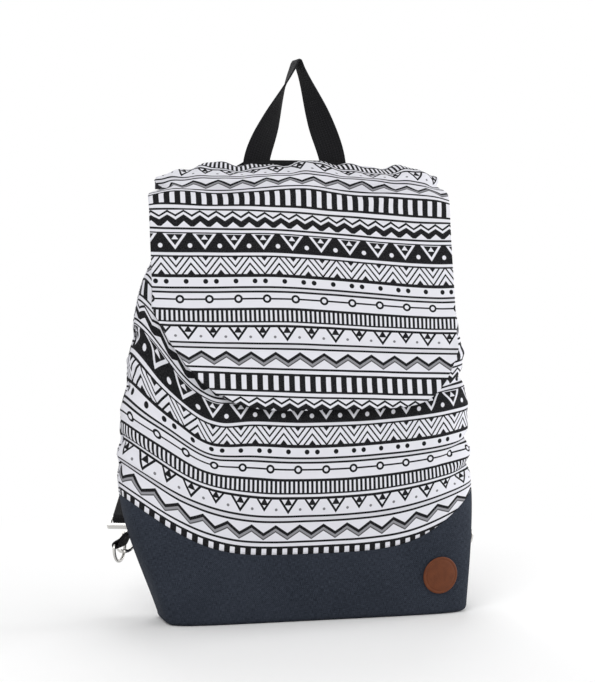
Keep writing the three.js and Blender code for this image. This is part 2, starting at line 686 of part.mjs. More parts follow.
// The ends of a body on the gate's pin, between two distances from the hook's flat side.
function pivotEnds(place, low, high) {
  return [low, high].map((w) => hookPoint(place, PIVOT.u, PIVOT.s, w));
}

// A flat bar in the hook's plane from one point to another.
function link(place, from, to, width, low, high) {
  const along = new THREE.Vector2(to.u - from.u, to.s - from.s);
  const length = along.length();
  along.normalize();
  const geometry = new THREE.BoxGeometry(length, width, Math.abs(high - low));
  geometry.translate(length / 2, 0, (low + high) / 2);
  const run = place.along.clone().multiplyScalar(along.x).addScaledVector(place.across, along.y);
  const side = place.flat.clone().cross(run);
  const basis = new THREE.Matrix4().makeBasis(run, side, place.flat);
  return geometry.applyMatrix4(basis.setPosition(hookPoint(place, from.u, from.s)));
}

function gate(place) {
  const half = GATE_WIDTH / 2;
  const knuckle = rod(KNUCKLE_RADIUS, ...pivotEnds(place, -half, half));
  const tip = { u: NOSE - 3 * GAP, s: -HOOK_WIDTH / 2 };
  const bar = link(place, PIVOT, tip, GATE_THICKNESS, -half, half);
  const bore = rod(PIN_RADIUS + GAP / 2, ...pivotEnds(place, -half - CUT, half + CUT));
  return fromSolid(solid(knuckle).add(solid(bar)).subtract(solid(bore)));
}

function gatePin(place) {
  const reach = FORK + EAR_THICKNESS;
  return rod(PIN_RADIUS, ...pivotEnds(place, -reach, reach));
}

// The eye: a window for the strap, on a boss that the hook turns in.
const EYE_OUTER = STRAP_WIDTH + 2 * EYE_SIDE + 2 * EYE_BAR;
const EYE_TOP = BOSS_HEIGHT + EYE_WINDOW + EYE_BAR;

function hookEye(place) {
  const low = BOSS_HEIGHT - EYE_BAR;
  const frame = new THREE.Shape();
  const corner = EYE_CORNER;
  const half = EYE_OUTER / 2;
  frame.moveTo(-half + corner, low);
  frame.lineTo(half - corner, low);
  frame.absarc(half - corner, low + corner, corner, -Math.PI / 2, 0, false);
  frame.absarc(half - corner, EYE_TOP - corner, corner, 0, Math.PI / 2, false);
  frame.absarc(-half + corner, EYE_TOP - corner, corner, Math.PI / 2, Math.PI, false);
  frame.absarc(-half + corner, low + corner, corner, Math.PI, 1.5 * Math.PI, false);
  const inner = half - EYE_BAR;
  const top = EYE_TOP - EYE_BAR;
  const hole = [[-inner, BOSS_HEIGHT], [-inner, top], [inner, top], [inner, BOSS_HEIGHT]];
  frame.holes.push(new THREE.Path(hole.map(([x, y]) => new THREE.Vector2(x, y))));
  const form = { depth: EYE_DEPTH, bevelEnabled: false, curveSegments: 3 };
  const loop = new THREE.ExtrudeGeometry(frame, form).translate(0, 0, -EYE_DEPTH / 2);
  const { away, strapWidth } = place;
  const basis = new THREE.Matrix4().makeBasis(strapWidth, away, strapWidth.clone().cross(away));
  loop.applyMatrix4(basis.setPosition(place.eye));
  const shaft = (radius, low, high) =>
    solid(rod(radius, hookPoint(place, low, 0), hookPoint(place, high, 0)));
  const boss = shaft(BOSS_RADIUS, -BOSS_HEIGHT, 0);
  const bore = shaft(HOOK_WIRE / 2 + GAP, -BOSS_HEIGHT - CUT, CUT);
  return fromSolid(solid(loop).add(boss).subtract(bore));
}

const block = sackBlock();
for (const place of sides) {
  const name = sideName(place.side);
  piece("side_tab_" + name, tab(place, block), BLACK_WEBBING);
  const ring = piece("side_ring_" + name, dRing(place), NICKEL);
  ring.userData.hinge = { at: place.bar, axis: place.toBack };
  const eye = piece("hook_eye_" + name, hookEye(place), NICKEL);
  eye.userData.swivel = { at: place.eye, axis: place.along };
  piece("hook_" + name, hookBody(place), NICKEL);
  piece("gate_pin_" + name, gatePin(place), NICKEL);
  const lever = piece("gate_" + name, gate(place), NICKEL);
  lever.userData.hinge = { at: hookPoint(place, PIVOT.u, PIVOT.s), axis: place.flat };
}

// Shoulder strap: from the left eye up under the band, round its turn and down to the right eye.
const WRAP = Math.hypot(EYE_BAR, EYE_DEPTH) / 2 + GAP + WEBBING / 2;

// The sewn end: back from its cut edge, round the eye's bar and out along the strap.
function strapEnd({ eye, away, strapWidth, side }) {
  const bar = eye.clone().addScaledVector(away, EYE_TOP - EYE_BAR / 2);
  const rise = strapWidth.clone().cross(away);
  if (rise.z < 0) rise.negate();
  const at = (a, n) => bar.clone().addScaledVector(away, a).addScaledVector(rise, n);
  const back = WRAP - WEBBING - 2 * GAP;
  const turn = range(WRAP_STEPS + 1).map((k) => {
    const angle = -Math.PI / 2 - (Math.PI * k) / WRAP_STEPS;
    return at(WRAP * Math.cos(angle), WRAP * Math.sin(angle));
  });
  const middle = STRAP_RETURN / 2;
  const cutEnd = [at(STRAP_RETURN, back), at(middle, (back - WRAP) / 2)];
  const points = [...cutEnd, ...turn, at(middle, WRAP)];
  const end = at(STRAP_RETURN, WRAP);
  const top = vector(side * STRAP_TURN, STRAP_Y, TURN_HEIGHT);
  const lead = end.clone().addScaledVector(away, STRAP_LEAD);
  const fall = top.clone().add(vector(side * STRAP_SPREAD, STRAP_BOW, -STRAP_FALL));
  const leg = new THREE.CubicBezierCurve3(end, lead, fall, top);
  const width = strapWidth.clone().multiplyScalar(-side);
  return { points, leg, width, topWidth: vector(-side, 0, 0) };
}

const ends = sides.map(strapEnd);

function shoulderStrap() {
  const half = ({ points, leg, width, topWidth }) => {
    const climb = range(LEG_STEPS + 1).map((k) => ({
      point: leg.getPoint(k / LEG_STEPS),
      width: width.clone().lerp(topWidth, THREE.MathUtils.smoothstep(k / LEG_STEPS, 0, 1)),
    }));
    return [...points.map((point) => ({ point, width })), ...climb];
  };
  const arc = range(TURN_STEPS).slice(1).map((k) => {
    const angle = Math.PI - (Math.PI * k) / TURN_STEPS;
    const radial = vector(Math.cos(angle), 0, Math.sin(angle));
    return {
      point: radial.clone().multiplyScalar(STRAP_TURN).add(vector(0, STRAP_Y, TURN_HEIGHT)),
      width: radial.negate(),
    };
  });
  const route = [...half(ends[0]), ...arc, ...half(ends[1]).reverse()];
  return ribbon(route.map(({ point }) => point), route.map(({ width }) => width), STRAP_WIDTH);
}
piece("shoulder_strap", shoulderStrap(), BLACK_WEBBING);

// Slider: two bars under the strap's left leg and one over it, between side rails.
function strapSlider() {
  const { leg, width, topWidth } = ends[0];
  const along = leg.getTangent(SLIDER_SHARE);
  const across = width.clone().lerp(topWidth, THREE.MathUtils.smoothstep(SLIDER_SHARE, 0, 1));
  across.addScaledVector(along, -across.dot(along)).normalize();
  const up = along.clone().cross(across);
  const basis = new THREE.Matrix4().makeBasis(along, across, up);
  basis.setPosition(leg.getPoint(SLIDER_SHARE));
  const off = WEBBING / 2 + SLIDER_GAP + SLIDER_BAR / 2;
  const rail = STRAP_WIDTH / 2 + SLIDER_GAP + SLIDER_BAR / 2;
  const box = (length, breadth, height, at) =>
    solid(new THREE.BoxGeometry(length, breadth, height).translate(...at).applyMatrix4(basis));
  const end = (SLIDER_LENGTH - SLIDER_BAR) / 2;
  const bars = [[-end, -off], [end, -off], [0, off]].map(([a, n]) =>
    box(SLIDER_BAR, 2 * rail, SLIDER_BAR, [a, 0, n]));
  const rails = [-rail, rail].map((b) =>
    box(SLIDER_LENGTH, SLIDER_BAR, 2 * off + SLIDER_BAR, [0, b, 0]));
  return fromSolid([...bars, ...rails].reduce((joined, next) => joined.add(next)));
}
piece("strap_slider", strapSlider(), NICKEL);

export default group;
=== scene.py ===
# %% [markdown]
# # A printed backpack on a denim base
# The bag is a limp sack of printed canvas on a denim tub. A flap folds over its mouth,
# and its webbing strap clips to a wire ring on each side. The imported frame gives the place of
# every piece, and this lesson dresses it: cloth first, then webbing, metal, light and camera.

# %% Setting up
import json
import math
import bpy
import numpy as np
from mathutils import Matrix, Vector

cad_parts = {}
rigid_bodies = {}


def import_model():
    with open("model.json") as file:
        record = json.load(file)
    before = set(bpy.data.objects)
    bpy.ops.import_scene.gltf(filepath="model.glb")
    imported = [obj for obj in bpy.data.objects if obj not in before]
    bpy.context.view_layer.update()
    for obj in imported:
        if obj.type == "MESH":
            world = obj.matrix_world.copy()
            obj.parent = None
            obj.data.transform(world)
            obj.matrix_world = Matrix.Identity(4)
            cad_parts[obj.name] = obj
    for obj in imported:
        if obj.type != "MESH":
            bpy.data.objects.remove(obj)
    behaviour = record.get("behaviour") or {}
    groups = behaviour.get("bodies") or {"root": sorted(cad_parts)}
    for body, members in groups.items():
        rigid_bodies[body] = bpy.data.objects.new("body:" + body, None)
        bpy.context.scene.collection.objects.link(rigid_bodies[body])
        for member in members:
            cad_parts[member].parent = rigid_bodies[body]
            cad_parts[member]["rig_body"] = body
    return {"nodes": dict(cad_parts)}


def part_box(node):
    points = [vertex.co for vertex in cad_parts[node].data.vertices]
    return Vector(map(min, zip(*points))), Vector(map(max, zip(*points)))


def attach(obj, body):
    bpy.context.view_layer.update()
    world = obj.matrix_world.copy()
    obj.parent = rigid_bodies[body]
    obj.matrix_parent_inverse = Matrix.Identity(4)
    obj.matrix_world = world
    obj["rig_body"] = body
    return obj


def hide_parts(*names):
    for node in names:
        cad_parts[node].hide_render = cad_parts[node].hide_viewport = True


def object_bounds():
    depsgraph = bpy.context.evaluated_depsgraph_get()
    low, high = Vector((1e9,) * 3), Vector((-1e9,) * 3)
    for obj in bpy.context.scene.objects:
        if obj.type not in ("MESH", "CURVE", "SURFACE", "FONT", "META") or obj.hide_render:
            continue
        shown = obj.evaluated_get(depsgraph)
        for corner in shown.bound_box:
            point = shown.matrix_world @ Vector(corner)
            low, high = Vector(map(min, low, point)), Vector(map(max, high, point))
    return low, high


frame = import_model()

MM = 0.001
start_low, start_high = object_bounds()
for extra in [o for o in bpy.data.objects if "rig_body" not in o and o.type in {"CAMERA", "LIGHT"}]:
    bpy.data.objects.remove(extra)
print("size in mm:", [round((b - a) / MM) for a, b in zip(start_low, start_high)])

# %% [markdown]
# ## The form of the sack
# One set of sections describes the sack: how far it reaches left, right, front and back at some
# heights, and how square it is there. A smooth curve runs through them, so the canvas, the denim
# and the lining can all be taken from one form and lie against each other. Sculpting each piece
# by hand would also work, but then their seams wouldn't meet.

# %% The sack's sections
# Gaps and thicknesses, heights, and the seam over the denim, all in mm.
GAP, CANVAS, LINING, LINING_GAP, WEBBING = 0.3, 1.6, 1.0, 2.4, 1.6
MOUTH, BACK_TOP, FOLD_TOP = 384, 396, 420
SEAM_MIDDLE, SEAM_SIDE, SEAM_CURVE = 64, 118, 2.6
HEIGHTS = np.array([0, 122, 250, 308, 345, 384], float)
SECTIONS = {
    "left": np.array([128, 168, 157, 147, 131, 122], float),
    "right": np.array([160, 168, 157, 147, 131, 122], float),
    "front": np.array([37, 52, 46, 36, 27, 17], float),
    "back": np.array([37, 46, 39, 33, 27, 21], float),
    "square": np.array([6, 2.8, 2.8, 2.8, 3, 3.4], float),
}
BELLY_HALF = SECTIONS["right"].max()
TUCK_HEIGHT, TUCK_FALL, TUCK_DEPTH, TUCK_WIDTH, TUCK_CURVE = 345, 285, 6, 24, 4
BACK_FOLDS = 0.5  # share of the front's folds that the back shows


def sack_size(key, z):
    """A size of the sack at heights z, on a smooth curve through its sections."""
    sizes = SECTIONS[key]
    last = len(HEIGHTS) - 1
    before = np.maximum(np.arange(last + 1) - 1, 0)
    after = np.minimum(np.arange(last + 1) + 1, last)
    slope = (sizes[after] - sizes[before]) / (HEIGHTS[after] - HEIGHTS[before])
    z = np.clip(z, 0, HEIGHTS[last])
    i = np.clip(np.searchsorted(HEIGHTS, z, side="left") - 1, 0, last - 1)
    span = HEIGHTS[i + 1] - HEIGHTS[i]
    u = (z - HEIGHTS[i]) / span
    even = sizes[i] + (sizes[i + 1] - sizes[i]) * u * u * (3 - 2 * u)
    return even + span * (u * (1 - u) ** 2 * slope[i] - u * u * (1 - u) * slope[i + 1])


def smooth(value, low, high):
    """0 below low, 1 above high, and an even step between them."""
    u = np.clip((value - low) / (high - low), 0, 1)
    return u * u * (3 - 2 * u)


def hump(value, middle, width):
    """1 at a middle, and falling to 0 on both sides over about twice the width."""
    return np.exp(-(((value - middle) / width) ** 2))


def crease(x, z, start, end, width, depth):
    """A fold along a line from start to end: a furrow for a positive depth, a ridge for a negative one."""
    run = np.subtract(end, start)
    length = np.hypot(*run)
    run = run / length
    along = (x - start[0]) * run[0] + (z - start[1]) * run[1]
    off = (x - start[0]) * run[1] - (z - start[1]) * run[0]
    inside = np.clip(along / length, 0, 1)
    return depth * np.sin(np.pi * inside) ** 0.8 * hump(off, 0, width)


# The start and end of each crease (x and z), its width and its depth.
SIDE_FOLDS = [
    ((-232, 332), (-92, 205), 6, 4.0),
    ((-226, 300), (-100, 190), 5, -2.6),
    ((-224, 268), (-104, 172), 6, 3.6),
    ((-222, 238), (-112, 158), 5, -2.0),
    ((-220, 204), (-114, 132), 5, 4.6),
    ((-216, 188), (-124, 124), 4, -1.4),
    ((-214, 174), (-122, 116), 5, 3.4),
    ((-114, 246), (-68, 128), 7, 2.2),
    ((206, 270), (132, 232), 5, -3.4),
    ((222, 256), (118, 200), 5, 5.0),
    ((224, 232), (126, 176), 6, -1.8),
    ((224, 196), (122, 141), 5, 4.8),
    ((222, 182), (128, 130), 4, -1.6),
    ((220, 168), (126, 118), 5, 3.6),
    ((-90, 150), (60, 138), 16, 1.1),
    ((-40, 112), (120, 116), 14, -0.9),
]


def sack_folds(across, side, z):
    """How far the folds of the front cloth draw it in, in mm."""
    x = across * side
    folds = sum(crease(x, z, *fold) for fold in SIDE_FOLDS)
    slack = 0.7 * np.sin(x / 23 + z / 37) * np.sin(z / 19 - x / 61)
    return (folds + slack) * smooth(z, 70, 130)


def sack_point(turn, z, inset=0.0, folds=1.0):
    """Points of the sack in mm: turn 0 is its right side, 0.25 its back, 0.5 its left, 0.75 its front."""
    cos, sin = np.cos(2 * np.pi * turn), np.sin(2 * np.pi * turn)
    power = 2 / sack_size("square", z)
    across, along = np.abs(cos) ** power, np.abs(sin) ** power
    forward = np.where(sin < 0, along, 0)
    drop = TUCK_HEIGHT - (1 - across) * TUCK_FALL
    tuck = TUCK_DEPTH * forward * hump(z, drop, TUCK_WIDTH) * across**TUCK_CURVE
    wide = np.where(cos > 0, sack_size("right", z), sack_size("left", z))
    deep = np.where(sin > 0, sack_size("back", z), sack_size("front", z))
    worn = sack_folds(across * wide, np.sign(cos), z) * np.where(sin < 0, 1, BACK_FOLDS) * folds
    draw = inset + tuck + worn
    return np.stack([np.sign(cos) * (wide - draw) * across, np.sign(sin) * (deep - draw) * along, z], -1)


def sack_front(x, z):
    """The y of the sack's front at x and z, in mm."""
    half = np.where(x > 0, sack_size("right", z), sack_size("left", z))
    square = sack_size("square", z)
    share = np.minimum(np.abs(x) / half, 1)
    return -sack_size("front", z) * (1 - share**square) ** (1 / square)


def seam_height(turn):
    """The height of the seam between denim and canvas, round the sack."""
    across = np.abs(np.cos(2 * np.pi * turn)) ** (2 / sack_size("square", np.float64(SEAM_SIDE)))
    return SEAM_MIDDLE + (SEAM_SIDE - SEAM_MIDDLE) * across**SEAM_CURVE


print("belly width in mm:", float(sack_size("left", 122) + sack_size("right", 122)))

# %% [markdown]
# ## Making cloth from a grid
# Cloth begins as a flat grid, as it does on the cutting table. The grid's points are then put in
# place by a form, each keeping its place on the cloth as a texture coordinate in metres, so that
# the print and the weave follow the folds. The Solidify modifier gives the cloth its thickness.

# %% A grid that takes a form
WELD = 1e-5  # metres
FRONT, BACK = (0, -1, 0), (0, 1, 0)


def apply_all(piece):
    """Applies the modifiers of a piece, in their order."""
    bpy.ops.object.select_all(action="DESELECT")
    piece.select_set(True)
    bpy.context.view_layer.objects.active = piece
    for modifier in list(piece.modifiers):
        bpy.ops.object.modifier_apply(modifier=modifier.name)


def thicken(piece, thickness, offset):
    """Adds a Solidify modifier: offset -1 thickens inwards, and 0 to both sides."""
    layer = piece.modifiers.new("thickness", "SOLIDIFY")
    layer.thickness, layer.offset = thickness * MM, offset


def edit_all(operation, **settings):
    """Runs a mesh operation on all of the active piece."""
    bpy.ops.object.mode_set(mode="EDIT")
    bpy.ops.mesh.select_all(action="SELECT")
    operation(**settings)
    bpy.ops.object.mode_set(mode="OBJECT")


def lengths(points):
    """Distances along the first axis of a grid of points, from 0 at its first row."""
    steps = np.linalg.norm(np.diff(points, axis=0), axis=-1)
    return np.concatenate([np.zeros_like(steps[:1]), np.cumsum(steps, axis=0)])


LEVELS = np.linspace(0, BACK_TOP, 133)


def girth(turn, z, start):
    """Distances round the sack at a height from the turn start, for a grid of turns and heights."""
    turns = turn[0]
    rings = sack_point(*np.meshgrid(turns, LEVELS), folds=0)
    run = lengths(rings.swapaxes(0, 1)).T
    run = run - np.array([np.interp(start, turns, row) for row in run])[:, None]
    return np.stack([np.interp(z[:, c], LEVELS, run[:, c]) for c in range(z.shape[1])], 1)


def climb(z, face):
    """Distances up the middle of the sack's front or back, from the base to heights z."""
    profile = np.stack([sack_size(face, LEVELS), LEVELS], -1)
    return np.interp(z, LEVELS, lengths(profile))


def cloth(name, columns, rows, form, thickness, outward, joined=False):
    """A sheet of cloth. form gives grids of points and of places on the cloth, all in mm."""
    bpy.ops.object.select_all(action="DESELECT")
    bpy.ops.mesh.primitive_grid_add(x_subdivisions=columns, y_subdivisions=rows, size=1)
    piece = bpy.context.object
    piece.name = piece.data.name = name
    mesh = piece.data
    flat = np.empty(len(mesh.vertices) * 3)
    mesh.vertices.foreach_get("co", flat)
    flat = flat.reshape(-1, 3) + 0.5
    column = np.rint(flat[:, 0] * columns).astype(int)
    row = np.rint(flat[:, 1] * rows).astype(int)
    s, t = np.meshgrid(np.linspace(0, 1, columns + 1), np.linspace(0, 1, rows + 1))
    points, places = form(s, t)
    mesh.vertices.foreach_set("co", (points[row, column] * MM).astype(np.float32).ravel())
    corner = np.empty(len(mesh.loops), int)
    mesh.loops.foreach_get("vertex_index", corner)
    marks = (places[row, column] * MM).astype(np.float32)[corner]
    mesh.uv_layers[0].name = "cloth"
    mesh.uv_layers[0].data.foreach_set("uv", marks.ravel())
    mesh.update()
    if joined:
        edit_all(bpy.ops.mesh.remove_doubles, threshold=WELD)
    outward = Vector(outward)
    outermost = max(mesh.polygons, key=lambda face: face.center.dot(outward))
    if outermost.normal.dot(outward) < 0:
        edit_all(bpy.ops.mesh.flip_normals)
    if thickness:
        thicken(piece, thickness, -1)
        apply_all(piece)
    bpy.ops.object.shade_smooth()
    return piece


def finished(piece, body, slot, material, *nodes):
    """A piece with its material, riding on a body and standing for CAD nodes."""
    piece.data.materials.clear()
    piece.data.materials.append(material)
    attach(piece, body)
    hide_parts(*nodes)
    points = [v.co for v in piece.data.vertices]
    size = [round(float(x) / MM) for x in np.max(points, 0) - np.min(points, 0)]
    print(piece.name, "mm:", size, "triangles:", sum(len(f.vertices) - 2 for f in piece.data.polygons))


# %% [markdown]
# ## Shader sums
# The print is drawn with sums on the cloth's own coordinates. A small class wraps a shader socket,
# so that those sums read as plain arithmetic and each one adds a node.

# %% A socket that can be added up
class Socket:
    """One output of a shader node, with arithmetic that adds Math nodes."""

    def __init__(self, tree, output):
        self.tree, self.output = tree, output

    def math(self, operation, *others, clamp=False):
        made = self.tree.nodes.new("ShaderNodeMath")
        made.operation, made.use_clamp = operation, clamp
        for slot, value in zip(made.inputs, (self, *others)):
            feed(slot, value)
        return Socket(self.tree, made.outputs[0])

    def __add__(self, other):
        return self.math("ADD", other)

    def __sub__(self, other):
        return self.math("SUBTRACT", other)

    def __mul__(self, other):
        return self.math("MULTIPLY", other)

    def __truediv__(self, other):
        return self.math("DIVIDE", other)

    def __rsub__(self, other):
        return (self * -1.0) + other

    def __mod__(self, other):
        return self.math("FLOORED_MODULO", other)

    def __abs__(self):
        return self.math("ABSOLUTE")

    def most(self, other):
        return self.math("MAXIMUM", other)

    def below(self, edge, soft=0.25):
        """1 where the value is under an edge, with a soft step."""
        return ((edge - self) / soft).math("ADD", 0.5, clamp=True)

    def near(self, middle, half, soft=0.25):
        """1 where the value lies within half of a middle."""
        return abs(self - middle).below(half, soft)

    def cell(self, period, shift=0.0):
        """Distance from the nearest line of a row with a period."""
        return abs((self + shift) % period - period / 2)


def feed(slot, value):
    """Links a Socket to an input of a node, or sets the input to a plain value."""
    if isinstance(value, Socket):
        value.tree.links.new(value.output, slot)
    else:
        slot.default_value = value


def node(tree, kind, links=None, **values):
    """Any other node, with its inputs by name and its own settings."""
    made = tree.nodes.new(kind)
    for name, value in values.items():
        setattr(made, name, value)
    for name, value in (links or {}).items():
        feed(made.inputs[name], value)
    return made


def blank(name):
    """A new material, with its node tree and its main shader."""
    material = bpy.data.materials.new(name)
    material.use_nodes = True
    tree = material.node_tree
    shader = next(n for n in tree.nodes if n.type == "BSDF_PRINCIPLED")
    return material, tree, shader


def cloth_place(tree):
    """The place across and along the cloth in mm, and both in metres as one vector."""
    uv = node(tree, "ShaderNodeUVMap", uv_map="cloth")
    split = node(tree, "ShaderNodeSeparateXYZ", {"Vector": Socket(tree, uv.outputs[0])})
    x, v = (Socket(tree, split.outputs[i]) / MM for i in (0, 1))
    return x, v, Socket(tree, uv.outputs[0])


def mix(tree, amount, first, second):
    """A colour between two: the first for an amount of 0, and the second for 1."""
    made = node(tree, "ShaderNodeMix", {0: amount, 6: (*first, 1), 7: (*second, 1)}, data_type="RGBA")
    return Socket(tree, made.outputs[2])


def noise(tree, place, scale, detail=3.0):
    """Cloudy noise from 0 to 1."""
    made = node(tree, "ShaderNodeTexNoise", {"Vector": place, "Scale": scale, "Detail": detail})
    return Socket(tree, made.outputs[0])


def paint(shader, colour, roughness, gloss=0.5):
    """Gives a shader its colour, its roughness and the strength of its gloss."""
    for name, value in (("Base Color", colour), ("Roughness", roughness), ("Specular IOR Level", gloss)):
        feed(shader.inputs[name], value)


def bump(tree, shader, height, distance, strength=0.6):
    """Relief in the shading, for heights that are scaled to a distance in metres."""
    made = node(tree, "ShaderNodeBump", {"Height": height, "Strength": strength, "Distance": distance})
    tree.links.new(made.outputs[0], shader.inputs["Normal"])


# %% [markdown]
# ## The print
# The canvas carries one repeat of nine bands, 172 mm high: bars, zigzags, triangles, chevrons,
# dots and rings. Each band is a few sums on the place across the cloth (x) and down the repeat (y),
# and gives 1 for ink and 0 for bare canvas.

# %% Nine bands of ink
REPEAT = 172.0


def line(y, middle, half):
    """1 on a level line of twice the half's width."""
    return y.near(middle, half)


def triangle(x, y, top, bottom, half):
    """1 in a triangle that hangs from its top, round x = 0."""
    return (x - (bottom - y) * (half / (bottom - top))).most(top - y).below(0.0)


def standing(x, y, top, bottom, half):
    """1 in a triangle that stands on its bottom, round x = 0."""
    return triangle(x, y * -1.0, -bottom, -top, half)


def dot(x, y, radius):
    """1 in a round dot at x = 0, y = 0."""
    return (x * x + y * y).math("SQRT").below(radius)


def bars_band(x, y):
    bar = (x.cell(9.8) - 1.75).most(0.0)
    end = (abs(y - 8.6) - 6.0).most(0.0)
    return 1.0 - dot(bar, end, 0.5)


def fine_zigzag(x, y):
    off = x.cell(15.0)
    wave = off * (4.4 / 7.5)
    thin = line(y, wave + 22.6, 1.0)
    thick = (wave + 26.0 - y).below(0.0) * y.below(35.8)
    return thin.most(thick * (1.0 - standing(off, y, 31.2, 35.9, 6.1)))


def dark_triangles(x, y):
    off = x.cell(27.0)
    outline = triangle(off, y, 42.1, 56.7, 10.9) * (1.0 - triangle(off, y, 42.7, 53.0, 7.7))
    heart = standing(off, y, 43.2, 47.5, 3.1)
    return 1.0 - outline.most(heart).most(dot(13.5 - off, y - 53.1, 2.1))


def chevrons(x, y):
    step = y - (13.5 - x.cell(27.0)) * 1.25 - 63.6
    stripes = (step % 7.0).near(6.0, 1.3)
    return stripes.most(1.0 - step.below(11.4)).most(step.below(-13.4)).most(1.0 - y.below(79.2))


def dots_band(x, y):
    marks = [dot(x.cell(45.2, shift), y - 85.8, 2.25) for shift in (0.0, 17.9, 27.6)]
    return marks[0].most(marks[1]).most(marks[2])


def ring_band(x, y):
    off, low = x.cell(26.5), y - 102.1
    return line(y, 102.1, 0.8).most(dot(off, low, 4.0)) * (1.0 - dot(off, low, 2.0))


def fine_bars(x, y):
    return 1.0 - x.cell(4.3).below(1.0)


def split_triangles(x, y):
    wide, narrow = x.cell(45.2), x.cell(45.2, 22.6)
    ink_on = dot(x.cell(22.6), y - 138.3, 1.3) * 0.75
    for off, bottom, half in ((wide, 142.4, 9.8), (narrow, 140.2, 8.3)):
        rim = triangle(off, y, 128.0, bottom, half)
        inside = triangle(off, y, 129.0, bottom - 3.6, half * 0.67)
        heart = standing(off, y, 127.6, 134.4, 3.8)
        ink_on = ink_on.most(rim * (1.0 - inside)).most(heart * rim)
    return ink_on


def thick_zigzag(x, y):
    off = y - x.cell(22.6) * (7.4 / 11.3) - 152.2
    return off.near(1.5, 1.6).most(off.near(4.2, 1.2) * 0.65).most(off.near(5.9, 0.7) * 0.9)


LINES = [(20.8, 0.85), (37.6, 0.95), (62.8, 0.8), (91.5, 0.95), (95.6, 0.95), (111.7, 1.2),
         (123.8, 0.75), (128.0, 1.2), (144.6, 0.95), (149.4, 0.95), (168.1, 0.95)]
BANDS = [(0.0, 17.0, bars_band), (21.4, 36.4, fine_zigzag), (40.9, 59.4, dark_triangles),
         (63.4, 82.2, chevrons), (82.6, 90.6, dots_band), (97.6, 107.4, ring_band),
         (112.4, 123.8, fine_bars), (128.0, 143.0, split_triangles), (151.4, 167.0, thick_zigzag)]


def ink(x, v):
    """Ink over the whole repeat, from the place across the cloth and up it."""
    y = (v * -1.0) % REPEAT
    total = (line(y, 93.5, 2.0) + line(y, 147.0, 2.4)) * 0.12
    for low, high, band in BANDS:
        total = total.most(band(x, y) * y.near((low + high) / 2, (high - low) / 2))
    for middle, half in LINES:
        total = total.most(line(y, middle, half))
    return total


def weave(x, v, thread):
    """The height of a plain weave with a thread width in mm."""
    over = (x * (math.pi / thread)).math("SINE") * (v * (math.pi / thread)).math("SINE")
    return over * 0.5 + 0.5


def printed_canvas():
    material, tree, shader = blank("printed canvas")
    x, v, place = cloth_place(tree)
    drift = (noise(tree, place, 9.0, 2.0) - 0.5) * 2.5
    drawn = ink(x, v + drift)
    fibres = noise(tree, place, 900.0)
    amount = drawn * (fibres * 0.1 + 0.94)
    colour = mix(tree, amount, (0.72, 0.72, 0.77), (0.005, 0.005, 0.006))
    paint(shader, colour, 0.9, 0.1)
    wrinkles = noise(tree, place, 26.0, 4.0) * 14.0
    bump(tree, shader, weave(x, v, 0.55) + fibres * 0.5 + wrinkles, 0.0002)
    return material


PRINT = printed_canvas()
print("print:", len(PRINT.node_tree.nodes), "nodes, repeat", REPEAT, "mm")

# %% [markdown]
# ## Plain cloths, leather and metal
# Denim is a twill: its threads step sideways from row to row, and pale and dark yarns give it a
# heathered look. Webbing has ribs along its length and a herringbone across. The leather has a
# fine grain, and the metal is bright plated wire.

# %% The other finishes
def denim():
    material, tree, shader = blank("heathered denim")
    x, v, place = cloth_place(tree)

    def yarns(*scale):
        drawn_out = node(tree, "ShaderNodeMapping", {"Vector": place, "Scale": scale})
        return noise(tree, Socket(tree, drawn_out.outputs[0]), 1.0)

    yarn = yarns(2600.0, 260.0, 1.0) * 0.55 + yarns(220.0, 2200.0, 1.0) * 0.45
    twill = ((x + v) * (math.pi / 0.9)).math("SINE") * 0.5 + 0.5
    wear = noise(tree, place, 14.0)
    amount = ((yarn - 0.36) * 2.4 + (wear - 0.5) * 0.4).math("ADD", 0.0, clamp=True)
    colour = mix(tree, amount, (0.009, 0.012, 0.018), (0.058, 0.068, 0.092))
    paint(shader, colour, 0.9, 0.1)
    wrinkles = noise(tree, place, 18.0, 4.0) * 12.0
    bump(tree, shader, twill + yarn * 0.6 + wrinkles, 0.0002)
    return material


def dark_lining():
    material, tree, shader = blank("dark lining")
    x, v, place = cloth_place(tree)
    shade = noise(tree, place, 300.0)
    colour = mix(tree, shade, (0.012, 0.012, 0.014), (0.026, 0.026, 0.03))
    paint(shader, colour, 0.9)
    bump(tree, shader, weave(x, v, 0.4), 0.0001)
    return material


def black_webbing():
    material, tree, shader = blank("black webbing")
    x, v, place = cloth_place(tree)
    rib = (x * (math.pi / 1.3)).math("SINE")
    step = (v * (math.pi / 1.1) + rib * 1.2).math("SINE")
    height = rib * 0.3 + step * 0.4 + 0.7
    fibres = noise(tree, place, 700.0)
    # The colour follows the weave's heights: a painted highlight on the ribs and painted shade between
    # them.
    colour = mix(tree, height * fibres, (0.003, 0.003, 0.0035), (0.018, 0.018, 0.02))
    paint(shader, colour, 0.8, 0.15)
    bump(tree, shader, height, 0.0003)
    return material


def object_place(tree):
    """The place on an object, in metres."""
    return Socket(tree, node(tree, "ShaderNodeTexCoord").outputs["Object"])


def tan_leather():
    material, tree, shader = blank("tan leather")
    place = object_place(tree)
    tone = noise(tree, place, 120.0, 5.0)
    cells = node(tree, "ShaderNodeTexVoronoi", {"Vector": place, "Scale": 1400.0})
    grain = Socket(tree, cells.outputs[0])
    colour = mix(tree, tone, (0.075, 0.019, 0.005), (0.155, 0.041, 0.012))
    paint(shader, colour, 0.6, 0.25)
    bump(tree, shader, grain + tone * 0.5, 0.0002, 0.5)
    return material


def bright_nickel():
    material, tree, shader = blank("bright nickel")
    place = object_place(tree)
    rough = noise(tree, place, 500.0) * 0.12 + 0.16
    paint(shader, (0.6, 0.59, 0.57, 1), rough)
    shader.inputs["Metallic"].default_value = 1.0
    return material


